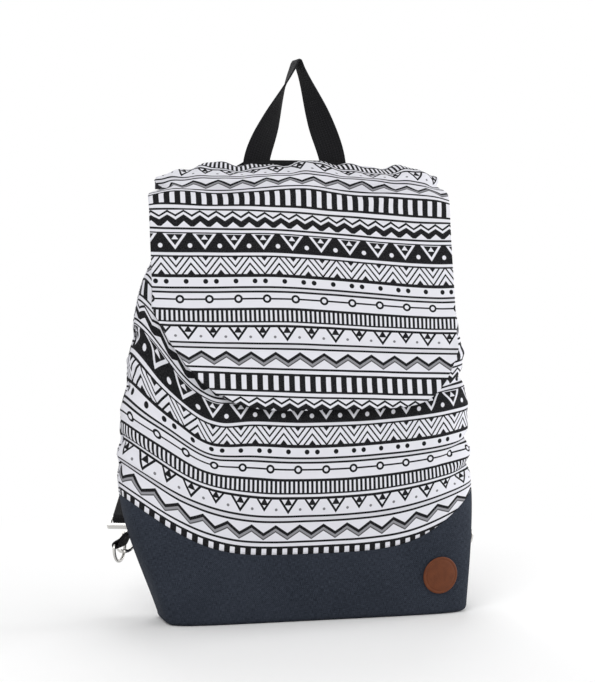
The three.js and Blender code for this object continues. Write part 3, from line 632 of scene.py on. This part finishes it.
DENIM, LINING_CLOTH, WEB = denim(), dark_lining(), black_webbing()
LEATHER, NICKEL = tan_leather(), bright_nickel()
for metal in ("hook_eye", "hook", "gate_pin", "gate"):
    for side in ("left", "right"):
        frame["nodes"][f"{metal}_{side}"].data.materials[0] = NICKEL
frame["nodes"]["strap_slider"].data.materials[0] = NICKEL
print("finishes:", [m.name for m in (PRINT, DENIM, LINING_CLOTH, WEB, LEATHER, NICKEL)])

# %% [markdown]
# ## Printed panels
# The front and back of the sack are cut from printed canvas and sewn to the denim along a seam that
# sags in the middle. The print follows that seam in part, so each panel measures its place on the
# cloth up from the seam's middle. At the front's left, the bands climb to the tuck.

# %% Front and back panel
BARS_ABOVE_SEAM = 8.0
SIDE_SEAM = 5e-5  # turns that keep the two panels apart at the side seams
TURN_REACH = 8.5  # how far the print leans outwards at the sides
TUCK_CLIMB, KINK_DIP, KINK_X, KINK_WIDTH = 20, 10, -92, 27


def print_rise(turn, x, z, face):
    """How far the bands climb towards the sides: less than the seam does, and less so further up.

    At the front's left, beside the tucked corner, they climb with the seam and beyond."""
    with_seam = seam_height(turn) - SEAM_MIDDLE
    level = with_seam * (0.75 - 0.55 * smooth(z, 75, 170))
    tucked = with_seam + TUCK_CLIMB * smooth(-x, 100, 150) * smooth(z, 185, 290)
    tucked = tucked - KINK_DIP * hump(x, KINK_X, KINK_WIDTH) * smooth(z, 110, 180)
    return np.where((x < 0) & (face == "front"), tucked, level)


def panel_form(first, top, face):
    """Half of the sack, over half a turn from the first, up from the denim to a top."""
    def form(s, t):
        at_seam = np.sign(0.5 - s) * (np.abs(s - 0.5) > 0.499)
        turn = first + s / 2 + SIDE_SEAM * at_seam
        low = seam_height(turn) + GAP
        z = low + (top - low) * t
        points = sack_point(turn, z)
        across = girth(turn, z, first + 0.25)
        rise = print_rise(turn, points[..., 0], z, face)
        lean = np.sign(across) * np.abs(points[..., 0] / BELLY_HALF) ** 1.6
        across = across + TURN_REACH * lean * np.tanh((z - low) / 80)
        up = climb(z, face) - climb(SEAM_MIDDLE, face) - rise - BARS_ABOVE_SEAM
        return points, np.stack([across, up], -1)
    return form


front = cloth("front_canvas", 200, 120, panel_form(0.5, MOUTH, "front"), CANVAS, FRONT)
finished(front, "bag", "printed_canvas", PRINT, "front_panel")
back = cloth("back_canvas", 160, 100, panel_form(0.0, BACK_TOP, "back"), CANVAS, BACK)
finished(back, "bag", "printed_canvas", PRINT, "back_panel")

# %% [markdown]
# ## The denim base and the lining
# The base is a tub: a flat floor with rounded edges, and walls that rise to the seam. Its grid
# starts at the middle of the floor and runs out and up, and the two ends of the ring are joined.
# The lining is a second tub, a little smaller, that is sewn to the canvas round the mouth.

# %% Two tubs
FLOOR_SHARE, EDGE_SHARE = 0.25, 0.35  # of the rows, where the floor and its round edge end
BASE_ROUND, SEWN_DEPTH = 6.0, 30.0


def tub_form(inset, top):
    """A floor and walls, at an inset from the sack. The lining's walls come out to the canvas."""
    def form(turn, t):
        low = inset + BASE_ROUND
        first_row = np.full_like(turn, low)
        rim, wide = sack_point(turn, first_row, low), sack_point(turn, first_row, inset)
        middle = np.array([(rim[..., 0].min() + rim[..., 0].max()) / 2, 0, inset])
        out = np.clip(t / FLOOR_SHARE, 0, 1)
        floor = middle + (rim - middle) * out[..., None]
        floor[..., 2] = inset
        bend = np.clip((t - FLOOR_SHARE) / (EDGE_SHARE - FLOOR_SHARE), 0, 1) * np.pi / 2
        edge = rim.copy()
        edge[..., :2] += (wide - edge)[..., :2] * np.sin(bend)[..., None]
        edge[..., 2] = inset + BASE_ROUND * (1 - np.cos(bend))
        rise = np.clip((t - EDGE_SHARE) / (1 - EDGE_SHARE), 0, 1)
        z = low + (top(turn) - low) * rise
        sewn = smooth(z, MOUTH - SEWN_DEPTH, MOUTH) * (inset - CANVAS - GAP)
        wall = sack_point(turn, z, inset - sewn * (inset > 0))
        on_floor, on_edge = (t < FLOOR_SHARE)[..., None], (t < EDGE_SHARE)[..., None]
        points = np.where(on_floor, floor, np.where(on_edge, edge, wall))
        on_wall = np.stack([girth(turn, points[..., 2], 0.75), points[..., 2]], -1)
        return points, np.where(on_floor, points[..., :2], on_wall)
    return form


base = cloth("denim_tub", 160, 60, tub_form(0.0, seam_height), CANVAS, FRONT, joined=True)
finished(base, "bag", "denim", DENIM, "denim_base")
inner = cloth("lining_sack", 120, 90, tub_form(CANVAS + LINING_GAP, lambda turn: np.full_like(turn, MOUTH)),
              LINING, FRONT, joined=True)
finished(inner, "bag", "dark_lining", LINING_CLOTH, "lining")

# %% [markdown]
# ## The flap
# The flap is sewn to the top of the back, folds over the mouth and hangs down the front. It is cut
# straight along its lower edge, with one large and one small rounded corner. Its cloth is creased
# where it turns over, and stands a little off the sack along the lower edge. Print and lining
# are two layers of one form.

# %% Two layers of the flap
FLAP_HALF, FLAP_LOW, FLAP_CLEARANCE = 143.0, 196.0, 5.0
FOLD_SHARE, FLAP_DROOP = 0.3, 15.0
CORNER_LEFT, CORNER_RIGHT, CURVE_LEFT, CURVE_RIGHT = 92, 52, 3.6, 8
BARS_ON_FLAP, BOW_HEIGHT = 228.5, 290.0
SWAG_X, SWAG_WIDTH = 66, 34
FURROW_HEIGHT, NOTCH_HEIGHT = 401, 399


def flap_bottom(x):
    """The height of the lower edge, which rises to a large left and a small right corner."""
    side = np.abs(x) / FLAP_HALF
    return FLAP_LOW + np.where(x < 0, CORNER_LEFT * side**CURVE_LEFT, CORNER_RIGHT * side**CURVE_RIGHT)


def flap_depth(x, z):
    """How far in front of the sack's middle plane the flap hangs."""
    side = np.abs(x) / BELLY_HALF
    return (sack_size("front", z) + FLAP_CLEARANCE) * (1 - side**3) ** (1 / 3)


def flap_points(x, share):
    """The flap without creases: share 0 is its lower edge, and 1 its seam on the back."""
    droop = FLAP_DROOP * (np.abs(x) / FLAP_HALF) ** 4
    start, end = MOUTH - droop, BACK_TOP + GAP
    low = flap_bottom(x)
    z = low + (start - low) * np.clip(share / (1 - FOLD_SHARE), 0, 1)
    hanging = np.stack([x, -flap_depth(x, z), z], -1)
    angle = np.pi * np.clip((share - 1 + FOLD_SHARE) / FOLD_SHARE, 0, 1)
    near, far = -flap_depth(x, start), SECTIONS["back"][-1]
    level = start + (end - start) * (1 - np.cos(angle)) / 2
    rise = FOLD_TOP - droop - (start + end) / 2
    y = (near + far) / 2 - (far - near) / 2 * np.cos(angle)
    folded = np.stack([x, y, level + rise * np.sin(angle)], -1)
    return np.where((share < 1 - FOLD_SHARE)[..., None], hanging, folded)


def swag(x):
    """How far the cloth sags between the loop and each corner, from 0 to 1."""
    return hump(np.abs(x), SWAG_X, SWAG_WIDTH)


def flap_folds(x, z, share):
    """How far the creases lift the flap's cloth, in mm."""
    ahead = 1 - smooth(share, 0.84, 0.9)
    line_z = FURROW_HEIGHT - 6 * swag(x) + 1.5 * np.sin(x / 11 + 0.5)
    furrow = -(1.6 + 3.6 * swag(x)) * hump(z, line_z, 4.6)
    roll = (1 + 1.6 * swag(x)) * hump(z, line_z + 9, 5)
    below = 2.2 * swag(x) * hump(z, line_z - 11, 6)
    lumps = 1.1 * np.sin(x / 10 + 1) * hump(z, 388, 12)
    slack = 0.9 * np.sin(x / 29 + z / 90) * np.sin(z / 27 - x / 70)
    lift = 3.6 * (1 - smooth(share, 0, 0.1)) * (0.75 + 0.25 * np.sin(x / 24))
    corner = crease(x, z, (-138, 318), (-60, 232), 9, -1.8) + crease(x, z, (138, 300), (96, 226), 9, -1.4)
    return (furrow + roll + below + lumps) * ahead + slack + lift + corner


def bow_length(x):
    """Distance along the flap's bow from its middle line."""
    line_x = np.linspace(0, FLAP_HALF, 100)
    bow = np.stack([line_x, flap_depth(line_x, BOW_HEIGHT)], -1)
    return np.sign(x) * np.interp(np.abs(x), line_x, lengths(bow))


def print_drift(x, z, share):
    """How far the bands lie below their straight place: askew, and sagging and gathered at the top."""
    even, late = 13 * x / (2 * FLAP_HALF), 12.5 * smooth(x, -50, 150)
    askew = even + (late - even) * smooth(z, 230, 300) * smooth(-z, -395, -360) + smooth(z, 240, 360)
    sag = 4 - 6.5 * hump(x, 0, 38) + 3.7 * hump(x, -77, 30)
    gathered = 15 + 11 * swag(x)
    return askew + sag * smooth(share, 0.66, 0.76) + gathered * smooth(share, 0.735, 0.82)


def flap_form(depth):
    """A layer of the flap at a depth below its outer face, creased and gathered."""
    def form(s, t):
        x = FLAP_HALF * (2 * s - 1)
        points = flap_points(x, t)
        across, up = np.gradient(points, axis=1), np.gradient(points, axis=0)
        outward = np.cross(across, up)
        outward /= np.linalg.norm(outward, axis=-1, keepdims=True)
        rest = points.copy()
        lifted = flap_folds(x, points[..., 2], t) * (1 - smooth(t, 0.95, 1)) - depth
        points = points + outward * lifted[..., None]
        to_left = smooth(-x, 20, 130)
        notch = hump(rest[..., 2], NOTCH_HEIGHT, 4) * smooth(np.abs(x), 105, FLAP_HALF) * (t < 0.85)
        narrow = (0.045 + 0.045 * to_left) * smooth(t, 0.78, 0.9) + (0.05 + 0.03 * to_left) * notch
        points[..., 0] *= 1 - narrow
        crumple = 2.2 * np.sin(x / 17 + 0.4) + 1.4 * np.sin(x / 7.5) + 0.8 * np.sin(x / 3.9 + 1)
        points[..., 2] += crumple * smooth(t, 0.74, 0.85) * (1 - smooth(t, 0.9, 1))
        points[-1, :, 2] = rest[-1, :, 2]
        up_cloth = flap_bottom(x) + lengths(rest) - BARS_ON_FLAP + print_drift(x, rest[..., 2], t)
        return points, np.stack([bow_length(x), up_cloth], -1)
    return form


flap = cloth("flap_canvas", 180, 130, flap_form(0.0), CANVAS, FRONT)
finished(flap, "bag", "printed_canvas", PRINT, "flap_outer")
flap_inside = cloth("flap_inner_cloth", 120, 90, flap_form(CANVAS + GAP), LINING, FRONT)
finished(flap_inside, "bag", "dark_lining", LINING_CLOTH, "flap_lining")

# %% [markdown]
# ## The leather patch
# A round patch of brown leather sits low on the right of the denim. It is a disc whose rim is
# rounded over, with a shallow pressed line inside the rim, laid on the curve of the denim.

# %% A disc of leather
PATCH_RADIUS, PATCH_THICKNESS, PATCH_X, PATCH_Z = 17.5, 1.8, 127.0, 38.0
RIM_ROUND, RIM_DROP, RIM_START = 0.8, 0.9, 0.85
PRESSED_RADIUS, PRESSED_DEPTH, PRESSED_WIDTH = 14.8, 0.35, 0.5


def patch_form(s, t):
    """A disc with a round rim and a pressed line: s runs round it, and t from its middle outwards."""
    turn = -2 * np.pi * s
    flat = np.clip(t / RIM_START, 0, 1)
    bend = np.clip((t - RIM_START) / (1 - RIM_START), 0, 1) * np.pi / 2
    radius = (PATCH_RADIUS - RIM_ROUND) * flat + RIM_ROUND * np.sin(bend)
    x, z = PATCH_X + radius * np.cos(turn), PATCH_Z + radius * np.sin(turn)
    pressed = PRESSED_DEPTH * hump(radius, PRESSED_RADIUS, PRESSED_WIDTH)
    height = 2 * GAP + PATCH_THICKNESS - RIM_DROP * (1 - np.cos(bend)) - pressed
    points = np.stack([x, sack_front(x, z) - height, z], -1)
    return points, np.stack([x, z], -1)


patch = cloth("leather_disc", 96, 40, patch_form, PATCH_THICKNESS * 0.5, FRONT, joined=True)
finished(patch, "bag", "leather", LEATHER, "leather_patch")

# %% [markdown]
# ## Webbing
# The band, the grab loop, the side tabs and the strap are all lengths of flat webbing. Each follows
# a path, with the direction of its width given along the way. A curve with a flat bevel could make
# them too, but its twist is hard to hold, so a narrow grid is laid along the path instead.

# %% Laying webbing along a path
UP = np.array([0.0, 0.0, 1.0])
WEB_ROUND = 0.4


def unit(vector):
    """Vectors of length 1 in the same directions."""
    return vector / np.linalg.norm(vector, axis=-1, keepdims=True)


def curve_through(points, count):
    """Points at even distances along a smooth curve through some points."""
    points = np.asarray(points, float)
    padded = np.vstack([2 * points[0] - points[1], points, 2 * points[-1] - points[-2]])
    knots = np.concatenate([[0], np.cumsum(np.linalg.norm(np.diff(padded, axis=0), axis=1) ** 0.5)])
    fine = []
    for i in range(1, len(padded) - 2):
        p0, p1, p2, p3 = padded[i - 1:i + 3]
        t0, t1, t2, t3 = knots[i - 1:i + 3]
        t = np.linspace(t1, t2, 40, endpoint=False)[:, None]
        a1 = (t1 - t) / (t1 - t0) * p0 + (t - t0) / (t1 - t0) * p1
        a2 = (t2 - t) / (t2 - t1) * p1 + (t - t1) / (t2 - t1) * p2
        a3 = (t3 - t) / (t3 - t2) * p2 + (t - t2) / (t3 - t2) * p3
        b1 = (t2 - t) / (t2 - t0) * a1 + (t - t0) / (t2 - t0) * a2
        b2 = (t3 - t) / (t3 - t1) * a2 + (t - t1) / (t3 - t1) * a3
        fine.append((t2 - t) / (t2 - t1) * b1 + (t - t1) / (t2 - t1) * b2)
    return evenly(np.vstack([*fine, points[-1:]]), count)


def evenly(points, count):
    """Points at even distances along a line of points."""
    run = lengths(points)
    marks = np.linspace(0, run[-1], count)
    return np.stack([np.interp(marks, run, points[:, k]) for k in range(3)], -1)


def webbing(name, path, widths, width, columns=8):
    """A length of webbing along a path, with the direction of its width at each point."""
    along = unit(np.gradient(path, axis=0))
    sideways = unit(widths - along * np.sum(widths * along, axis=-1, keepdims=True))

    def form(s, t):
        off = (s - 0.5) * width
        points = path[:, None, :] + sideways[:, None, :] * off[..., None]
        run = np.broadcast_to(lengths(path)[:, None], s.shape)
        return points, np.stack([off, run], -1)

    piece = cloth(name, columns, len(path) - 1, form, 0, BACK)
    thicken(piece, WEBBING, 0)
    edge = piece.modifiers.new("soft edges", "BEVEL")
    edge.width = WEB_ROUND * MM
    edge.segments = 2
    edge.limit_method = "ANGLE"
    apply_all(piece)
    return piece


def back_at(z):
    """The y of the back's middle at a height, in mm."""
    return float(sack_point(np.float64(0.25), np.float64(z), folds=0)[1])


TURN_HEIGHT = BACK_TOP - 15.8
STRAP_TURN, STRAP_WIDTH, STRAP_CLEARANCE = 24.0, 38.0, 2.2
BAND_HALF_LENGTH, BAND_WIDTH, BAND_CLEARANCE = 62, 42.0, 0.9
BAND_LIFT, BAND_SIDE, BAND_EASE = 2, 2, 9
STRAP_Y = back_at(TURN_HEIGHT) + STRAP_CLEARANCE + WEBBING / 2
BAND_Y = STRAP_Y + WEBBING + BAND_CLEARANCE
BAND_HEIGHT = TURN_HEIGHT + BAND_WIDTH / 2 + BAND_LIFT
LOOP_Y = BAND_Y + WEBBING + GAP

across = np.linspace(-BAND_HALF_LENGTH, BAND_HALF_LENGTH, 61)
seat = back_at(BAND_HEIGHT - BAND_WIDTH / 2) + GAP + WEBBING / 2
flat_end = STRAP_TURN + STRAP_WIDTH / 2 + BAND_SIDE
band_y = BAND_Y + (seat - BAND_Y) * smooth(np.abs(across), flat_end, flat_end + BAND_EASE)
band_z = BAND_HEIGHT - 8 * smooth(np.abs(across - 5), 40, 54)
band_path = np.stack([across, band_y, band_z], -1)
band = webbing("back_band", band_path, np.broadcast_to(UP, band_path.shape), BAND_WIDTH)
finished(band, "bag", "webbing", WEB, "cross_band")

# %% [markdown]
# The grab loop starts behind the band, rises with its face to the front and turns edge-on at its
# tip, where it hangs on a peg.

# %% Grab loop
LOOP_FORM = [(0, 1), (0.28, 0.94), (0.55, 0.62), (0.78, 0.32), (0.93, 0.11)]
LOOP_LEAN, LOOP_TIP, LOOP_LOW = 7.0, FOLD_TOP + 98.0, BAND_HEIGHT - 14.7
LOOP_LEFT, LOOP_RIGHT, LOOP_WIDTH, LOOP_TWIST = -34, 44, 25.0, 20


def loop_leg(foot):
    """Points of a leg, from its foot to just below the tip."""
    reach, height = foot - LOOP_LEAN, LOOP_TIP - LOOP_LOW
    return [(LOOP_LEAN + reach * out, LOOP_Y, LOOP_LOW + height * up) for up, out in LOOP_FORM]


loop_tip = (LOOP_LEAN, LOOP_Y, LOOP_TIP)
loop_path = curve_through([*loop_leg(LOOP_LEFT), loop_tip, *loop_leg(LOOP_RIGHT)[::-1]], 121)
backward = np.array([0.0, 1.0, 0.0])
quarter = smooth(loop_path[:, 2], BACK_TOP + LOOP_TWIST, LOOP_TIP)[:, None] * np.pi / 2
face_on = np.cross(backward, unit(np.gradient(loop_path, axis=0)))
loop_widths = face_on * np.cos(quarter) + backward * np.sin(quarter)
loop = webbing("grab_loop_webbing", loop_path, loop_widths, LOOP_WIDTH)
finished(loop, "bag", "webbing", WEB, "grab_loop")

# %% [markdown]
# ## The sides
# Low on each side a webbing tab is sewn in and holds a wire ring. The strap's snap hook comes from
# behind and holds that ring, and the strap's end is sewn round the hook's eye. All these places
# follow from the sack's side, as they do in the frame.

# %% Places on the sides
RING_WIRE, RING_DROP, RING_CORNER, RING_HALF, RING_GRIP, RING_PLAY = 3.0, 16.0, 3.0, 13.4, 5.3, 2.6
TAB_HEIGHT, TAB_REACH, TAB_DROP, TAB_WIDTH, TAB_LENGTH = 84.0, 9, 15, 22.0, 15.5
TAB_LEAD = np.array([-0.678, 0.735])  # out of the side and up, from the ring's bar to the sack
HOOK_OUT, HOOK_BACK, HOOK_UP, HOOK_LENGTH, HOOK_WIRE = 0.15, 0.85, 0.45, 36, 3.6
EYE_BAR, EYE_DEPTH, EYE_TOP = 3.4, 4.4, 18.4
WRAP = math.hypot(EYE_BAR, EYE_DEPTH) / 2 + GAP + WEBBING / 2


def side_places(side):
    """The ring's bar, the hook's eye and the directions there, on the left (-1) or right (1) side."""
    turn, step = (0.455, -0.001) if side < 0 else (0.045, 0.001)
    height = np.float64(TAB_HEIGHT)
    root, behind = (sack_point(np.float64(at), height, folds=0) for at in (turn, turn + step))
    to_back = unit(behind - root)
    out = np.cross(to_back, UP) * side
    bar = root + out * TAB_REACH - UP * TAB_DROP
    away = unit(out * HOOK_OUT + to_back * HOOK_BACK + UP * HOOK_UP)
    flat = unit(UP - away * (UP @ away))
    grip = HOOK_LENGTH - (HOOK_WIRE / 2 + RING_WIRE / 2 + RING_PLAY) / (flat @ UP)
    eye = bar + to_back * RING_HALF - UP * RING_GRIP + away * grip
    return {"side": side, "to_back": to_back, "out": out, "bar": bar, "away": away, "eye": eye,
            "strap_width": unit(np.cross(UP, -away))}


sides = {"left": side_places(-1), "right": side_places(1)}
for name, place in sides.items():
    low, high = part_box(f"side_ring_{name}")
    inside = low.x / MM < place["bar"][0] < high.x / MM
    print(name, "ring bar at mm", np.round(place["bar"], 1), "in its CAD box:", inside)

# %% [markdown]
# ## Tabs and rings
# Each tab is a short piece of webbing folded round the bar of its ring. The ring is round wire bent
# to a D: a straight bar in the tab, two tight corners and a bow. A torus would have no straight bar,
# so a grid is rolled round the ring's line instead.

# %% Tabs and rings
def tab_path(place):
    """The line of a tab: from the sack round the ring's bar and back."""
    beside = np.array([-TAB_LEAD[1], TAB_LEAD[0]])
    radius = RING_WIRE / 2 + GAP + WEBBING / 2
    leg = np.linspace(TAB_LENGTH, 0, 14)[:-1]
    spread = radius + (WEBBING / 2 + 0.05 - radius) * smooth(leg, 0.5, 8)
    rows = [TAB_LEAD * a + beside * b for a, b in zip(leg, spread)]
    turn = np.linspace(0, np.pi, 27)
    rows += [beside * radius * math.cos(a) - TAB_LEAD * radius * math.sin(a) for a in turn]
    rows += [TAB_LEAD * a - beside * b for a, b in zip(leg[::-1], spread[::-1])]
    return np.array([place["bar"] + place["out"] * u + UP * v for u, v in rows])


def ring_form(place):
    """Round wire along a D: a straight bar, two corners and a bow below it."""
    straight = RING_HALF - RING_CORNER
    quarter = np.linspace(np.pi / 2, 0, 9)
    corner = np.stack([straight + RING_CORNER * np.cos(quarter), RING_CORNER * (np.sin(quarter) - 1)], -1)
    half_turn = np.linspace(0, -np.pi, 33)[1:-1]
    bow_drop = RING_DROP - RING_CORNER
    bow = np.stack([RING_HALF * np.cos(half_turn), bow_drop * np.sin(half_turn) - RING_CORNER], -1)
    outline = np.vstack([[(-straight, 0.0), (0.0, 0.0)], corner, bow, corner[::-1] * (-1, 1)])
    flat = place["bar"] + place["to_back"] * outline[:, :1] + UP * outline[:, 1:]
    path = evenly(flat, 97)[:-1]
    ring = np.vstack([path, path[:1]])
    along = unit(np.roll(path, -1, 0) - np.roll(path, 1, 0))
    along = np.vstack([along, along[:1]])

    def form(s, t):
        sideways = np.cross(place["out"], along)[:, None, :]
        turn = 2 * np.pi * s[..., None]
        points = ring[:, None, :] + RING_WIRE / 2 * (sideways * np.cos(turn) + place["out"] * np.sin(turn))
        return points, np.stack([s * 9, t * 80], -1)

    return form


for name, place in sides.items():
    path = tab_path(place)
    tab = webbing(f"tab_webbing_{name}", path, np.broadcast_to(place["to_back"], path.shape), TAB_WIDTH)
    finished(tab, "bag", "webbing", WEB, f"side_tab_{name}")
    ring = cloth(f"wire_ring_{name}", 16, 96, ring_form(place), 0, tuple(place["out"]), joined=True)
    finished(ring, f"ring_{name}", "nickel", NICKEL, f"side_ring_{name}")

# %% [markdown]
# ## The shoulder strap
# One long strap runs from the left hook up under the band, round its turn and down to the right
# hook, so the bag can be worn on the back or over one shoulder. Each end is sewn back round the
# hook's eye. It is laid directly, because both of its ends and its turn are held.

# %% Strap
STRAP_RETURN, STRAP_LEAD, LEG_ROWS = 26, 62, 81
STRAP_SPREAD, STRAP_BOW, STRAP_FALL = 25, 62, 120


def bezier(points, count):
    """Points along a cubic curve with four control points."""
    t = np.linspace(0, 1, count)[:, None]
    a, b, c, d = (np.asarray(p, float) for p in points)
    return a * (1 - t) ** 3 + 3 * b * t * (1 - t) ** 2 + 3 * c * t * t * (1 - t) + d * t**3


def strap_half(place):
    """Points and width directions of one half, from its sewn end to the top of its leg."""
    side, away, width = place["side"], place["away"], place["strap_width"]
    bar = place["eye"] + away * (EYE_TOP - EYE_BAR / 2)
    rise = np.cross(width, away)
    rise = rise if rise[2] > 0 else -rise

    def at(a, n):
        return bar + away * a + rise * n

    sewn = WRAP - WEBBING - 2 * GAP
    wrap = [at(WRAP * math.cos(a), WRAP * math.sin(a)) for a in np.linspace(-np.pi / 2, -1.5 * np.pi, 25)]
    sewn_end, leg_start = at(STRAP_RETURN, sewn), at(STRAP_RETURN, WRAP)
    lower = curve_through([sewn_end, at(STRAP_RETURN / 2, (sewn - WRAP) / 2), wrap[0]], 20)[:-1]
    upper = np.linspace(wrap[-1], leg_start, 12)[1:-1]
    top = np.array([side * STRAP_TURN, STRAP_Y, TURN_HEIGHT])
    fall = top + np.array([side * STRAP_SPREAD, STRAP_BOW, -STRAP_FALL])
    leg = bezier([leg_start, leg_start + away * STRAP_LEAD, fall, top], LEG_ROWS)
    turning = smooth(np.linspace(0, 1, LEG_ROWS), 0, 1)[:, None]
    end = np.vstack([lower, wrap, upper])
    start_width, end_width = width * -side, np.array([-side, 0.0, 0.0])
    turned = start_width + (end_width - start_width) * turning
    return np.vstack([end, leg]), np.vstack([np.broadcast_to(start_width, end.shape), turned])


left_path, left_widths = strap_half(sides["left"])
right_path, right_widths = strap_half(sides["right"])
turning = np.linspace(np.pi, 0, 33)[1:-1]
radial = np.stack([np.cos(turning), np.zeros_like(turning), np.sin(turning)], -1)
turn_path = radial * STRAP_TURN + np.array([0, STRAP_Y, TURN_HEIGHT])
strap_path = np.vstack([left_path, turn_path, right_path[::-1]])
strap_widths = np.vstack([left_widths, -radial, right_widths[::-1]])
strap = webbing("strap_webbing", strap_path, strap_widths, STRAP_WIDTH)
finished(strap, "bag", "webbing", WEB, "shoulder_strap")
print("strap length in mm:", round(float(lengths(strap_path)[-1])))

# %% [markdown]


# %% [markdown]
# ## Floor, light and camera
# The bag stands on a pale floor. A large soft lamp from the upper left, weaker ones from the right,
# from behind and beside its right side, and an even sky light it, as in a small studio.
# Away from the bag the floor and the sky are seen as plain white, without lighting the bag,
# while the floor near it keeps the shadow.

# %% Studio
SHADOW_START, SHADOW_FADE, SKY_LIGHT = 0.22, 0.5, 0.5
bpy.ops.object.select_all(action="DESELECT")
bpy.ops.mesh.primitive_circle_add(vertices=96, radius=40, fill_type="NGON")
floor = bpy.context.object
floor.name = "floor"
paper, paper_tree, paper_shader = blank("pale paper")
paint(paper_shader, (0.9, 0.9, 0.9, 1), 0.95, 0.0)


def seen_directly(tree):
    """1 for what the camera sees and what the metal mirrors, and 0 for light that falls on something."""
    path = node(tree, "ShaderNodeLightPath")
    rays = [Socket(tree, path.outputs[f"Is {kind} Ray"]) for kind in ("Camera", "Glossy", "Transmission")]
    return rays[0].most(rays[1]).most(rays[2])


reach = node(paper_tree, "ShaderNodeVectorMath", {0: object_place(paper_tree)}, operation="LENGTH")
off = Socket(paper_tree, reach.outputs["Value"]) - SHADOW_START
away_from_bag = (off / SHADOW_FADE).math("ADD", 0.0, clamp=True)
glow = node(paper_tree, "ShaderNodeEmission")
blend = node(paper_tree, "ShaderNodeMixShader", {0: seen_directly(paper_tree) * away_from_bag})
paper_tree.links.new(paper_shader.outputs[0], blend.inputs[1])
paper_tree.links.new(glow.outputs[0], blend.inputs[2])
paper_out = next(n for n in paper_tree.nodes if n.type == "OUTPUT_MATERIAL")
paper_tree.links.new(blend.outputs[0], paper_out.inputs["Surface"])
floor.data.materials.append(paper)


def soft_lamp(name, place, target, size, power):
    """A square lamp that faces a target."""
    bpy.ops.object.light_add(type="AREA", location=place)
    lamp = bpy.context.object
    lamp.name = name
    lamp.data.size = size
    lamp.data.energy = power
    lamp.rotation_euler = (Vector(target) - Vector(place)).to_track_quat("-Z", "Y").to_euler()


middle = (start_low + start_high) / 2
soft_lamp("key lamp", (-1.3, -1.9, 2.0), middle, 1.6, 40)
soft_lamp("fill lamp", (1.9, -1.6, 1.1), middle, 1.8, 7)
soft_lamp("back lamp", (0.4, 1.9, 1.9), middle, 1.6, 28)
soft_lamp("side lamp", (2.0, 0.1, 0.6), middle, 1.2, 24)
world = bpy.data.worlds.new("studio sky")
bpy.context.scene.world = world
world.use_nodes = True
sky_tree = world.node_tree
sky = next(n for n in sky_tree.nodes if n.type == "BACKGROUND")
sky.inputs["Color"].default_value = (1, 1, 1, 1)
strength = seen_directly(sky_tree) * (1 - SKY_LIGHT) + SKY_LIGHT
feed(sky.inputs["Strength"], strength)

# %% [markdown]
# ## Camera
# The photograph was taken from a little to the left of the bag and about level with its middle.
# A long lens from nearly two metres gives the same flat perspective.

# %% Camera
AZIMUTH, ELEVATION, DISTANCE = math.radians(-15), math.radians(3), 1.9
AIM_HEIGHT, LENS = 0.256, 108
bpy.ops.object.camera_add()
camera = bpy.context.object
camera.name = "photo view"
aim = Vector((0.0, 0.0, AIM_HEIGHT))
flat_way = Vector((math.sin(AZIMUTH), -math.cos(AZIMUTH), 0.0))
toward = flat_way * math.cos(ELEVATION) + Vector((0.0, 0.0, math.sin(ELEVATION)))
camera.location = aim + toward * DISTANCE
camera.rotation_euler = (-toward).to_track_quat("-Z", "Y").to_euler()
camera.data.lens = LENS
bpy.context.scene.camera = camera
bpy.context.scene.view_settings.view_transform = "Standard"
print("camera at", [round(x, 3) for x in camera.location], "with a lens of", camera.data.lens)

# %% Finishing
print("CAD mm:", [round(x / MM, 1) for x in (*start_low, *start_high)])
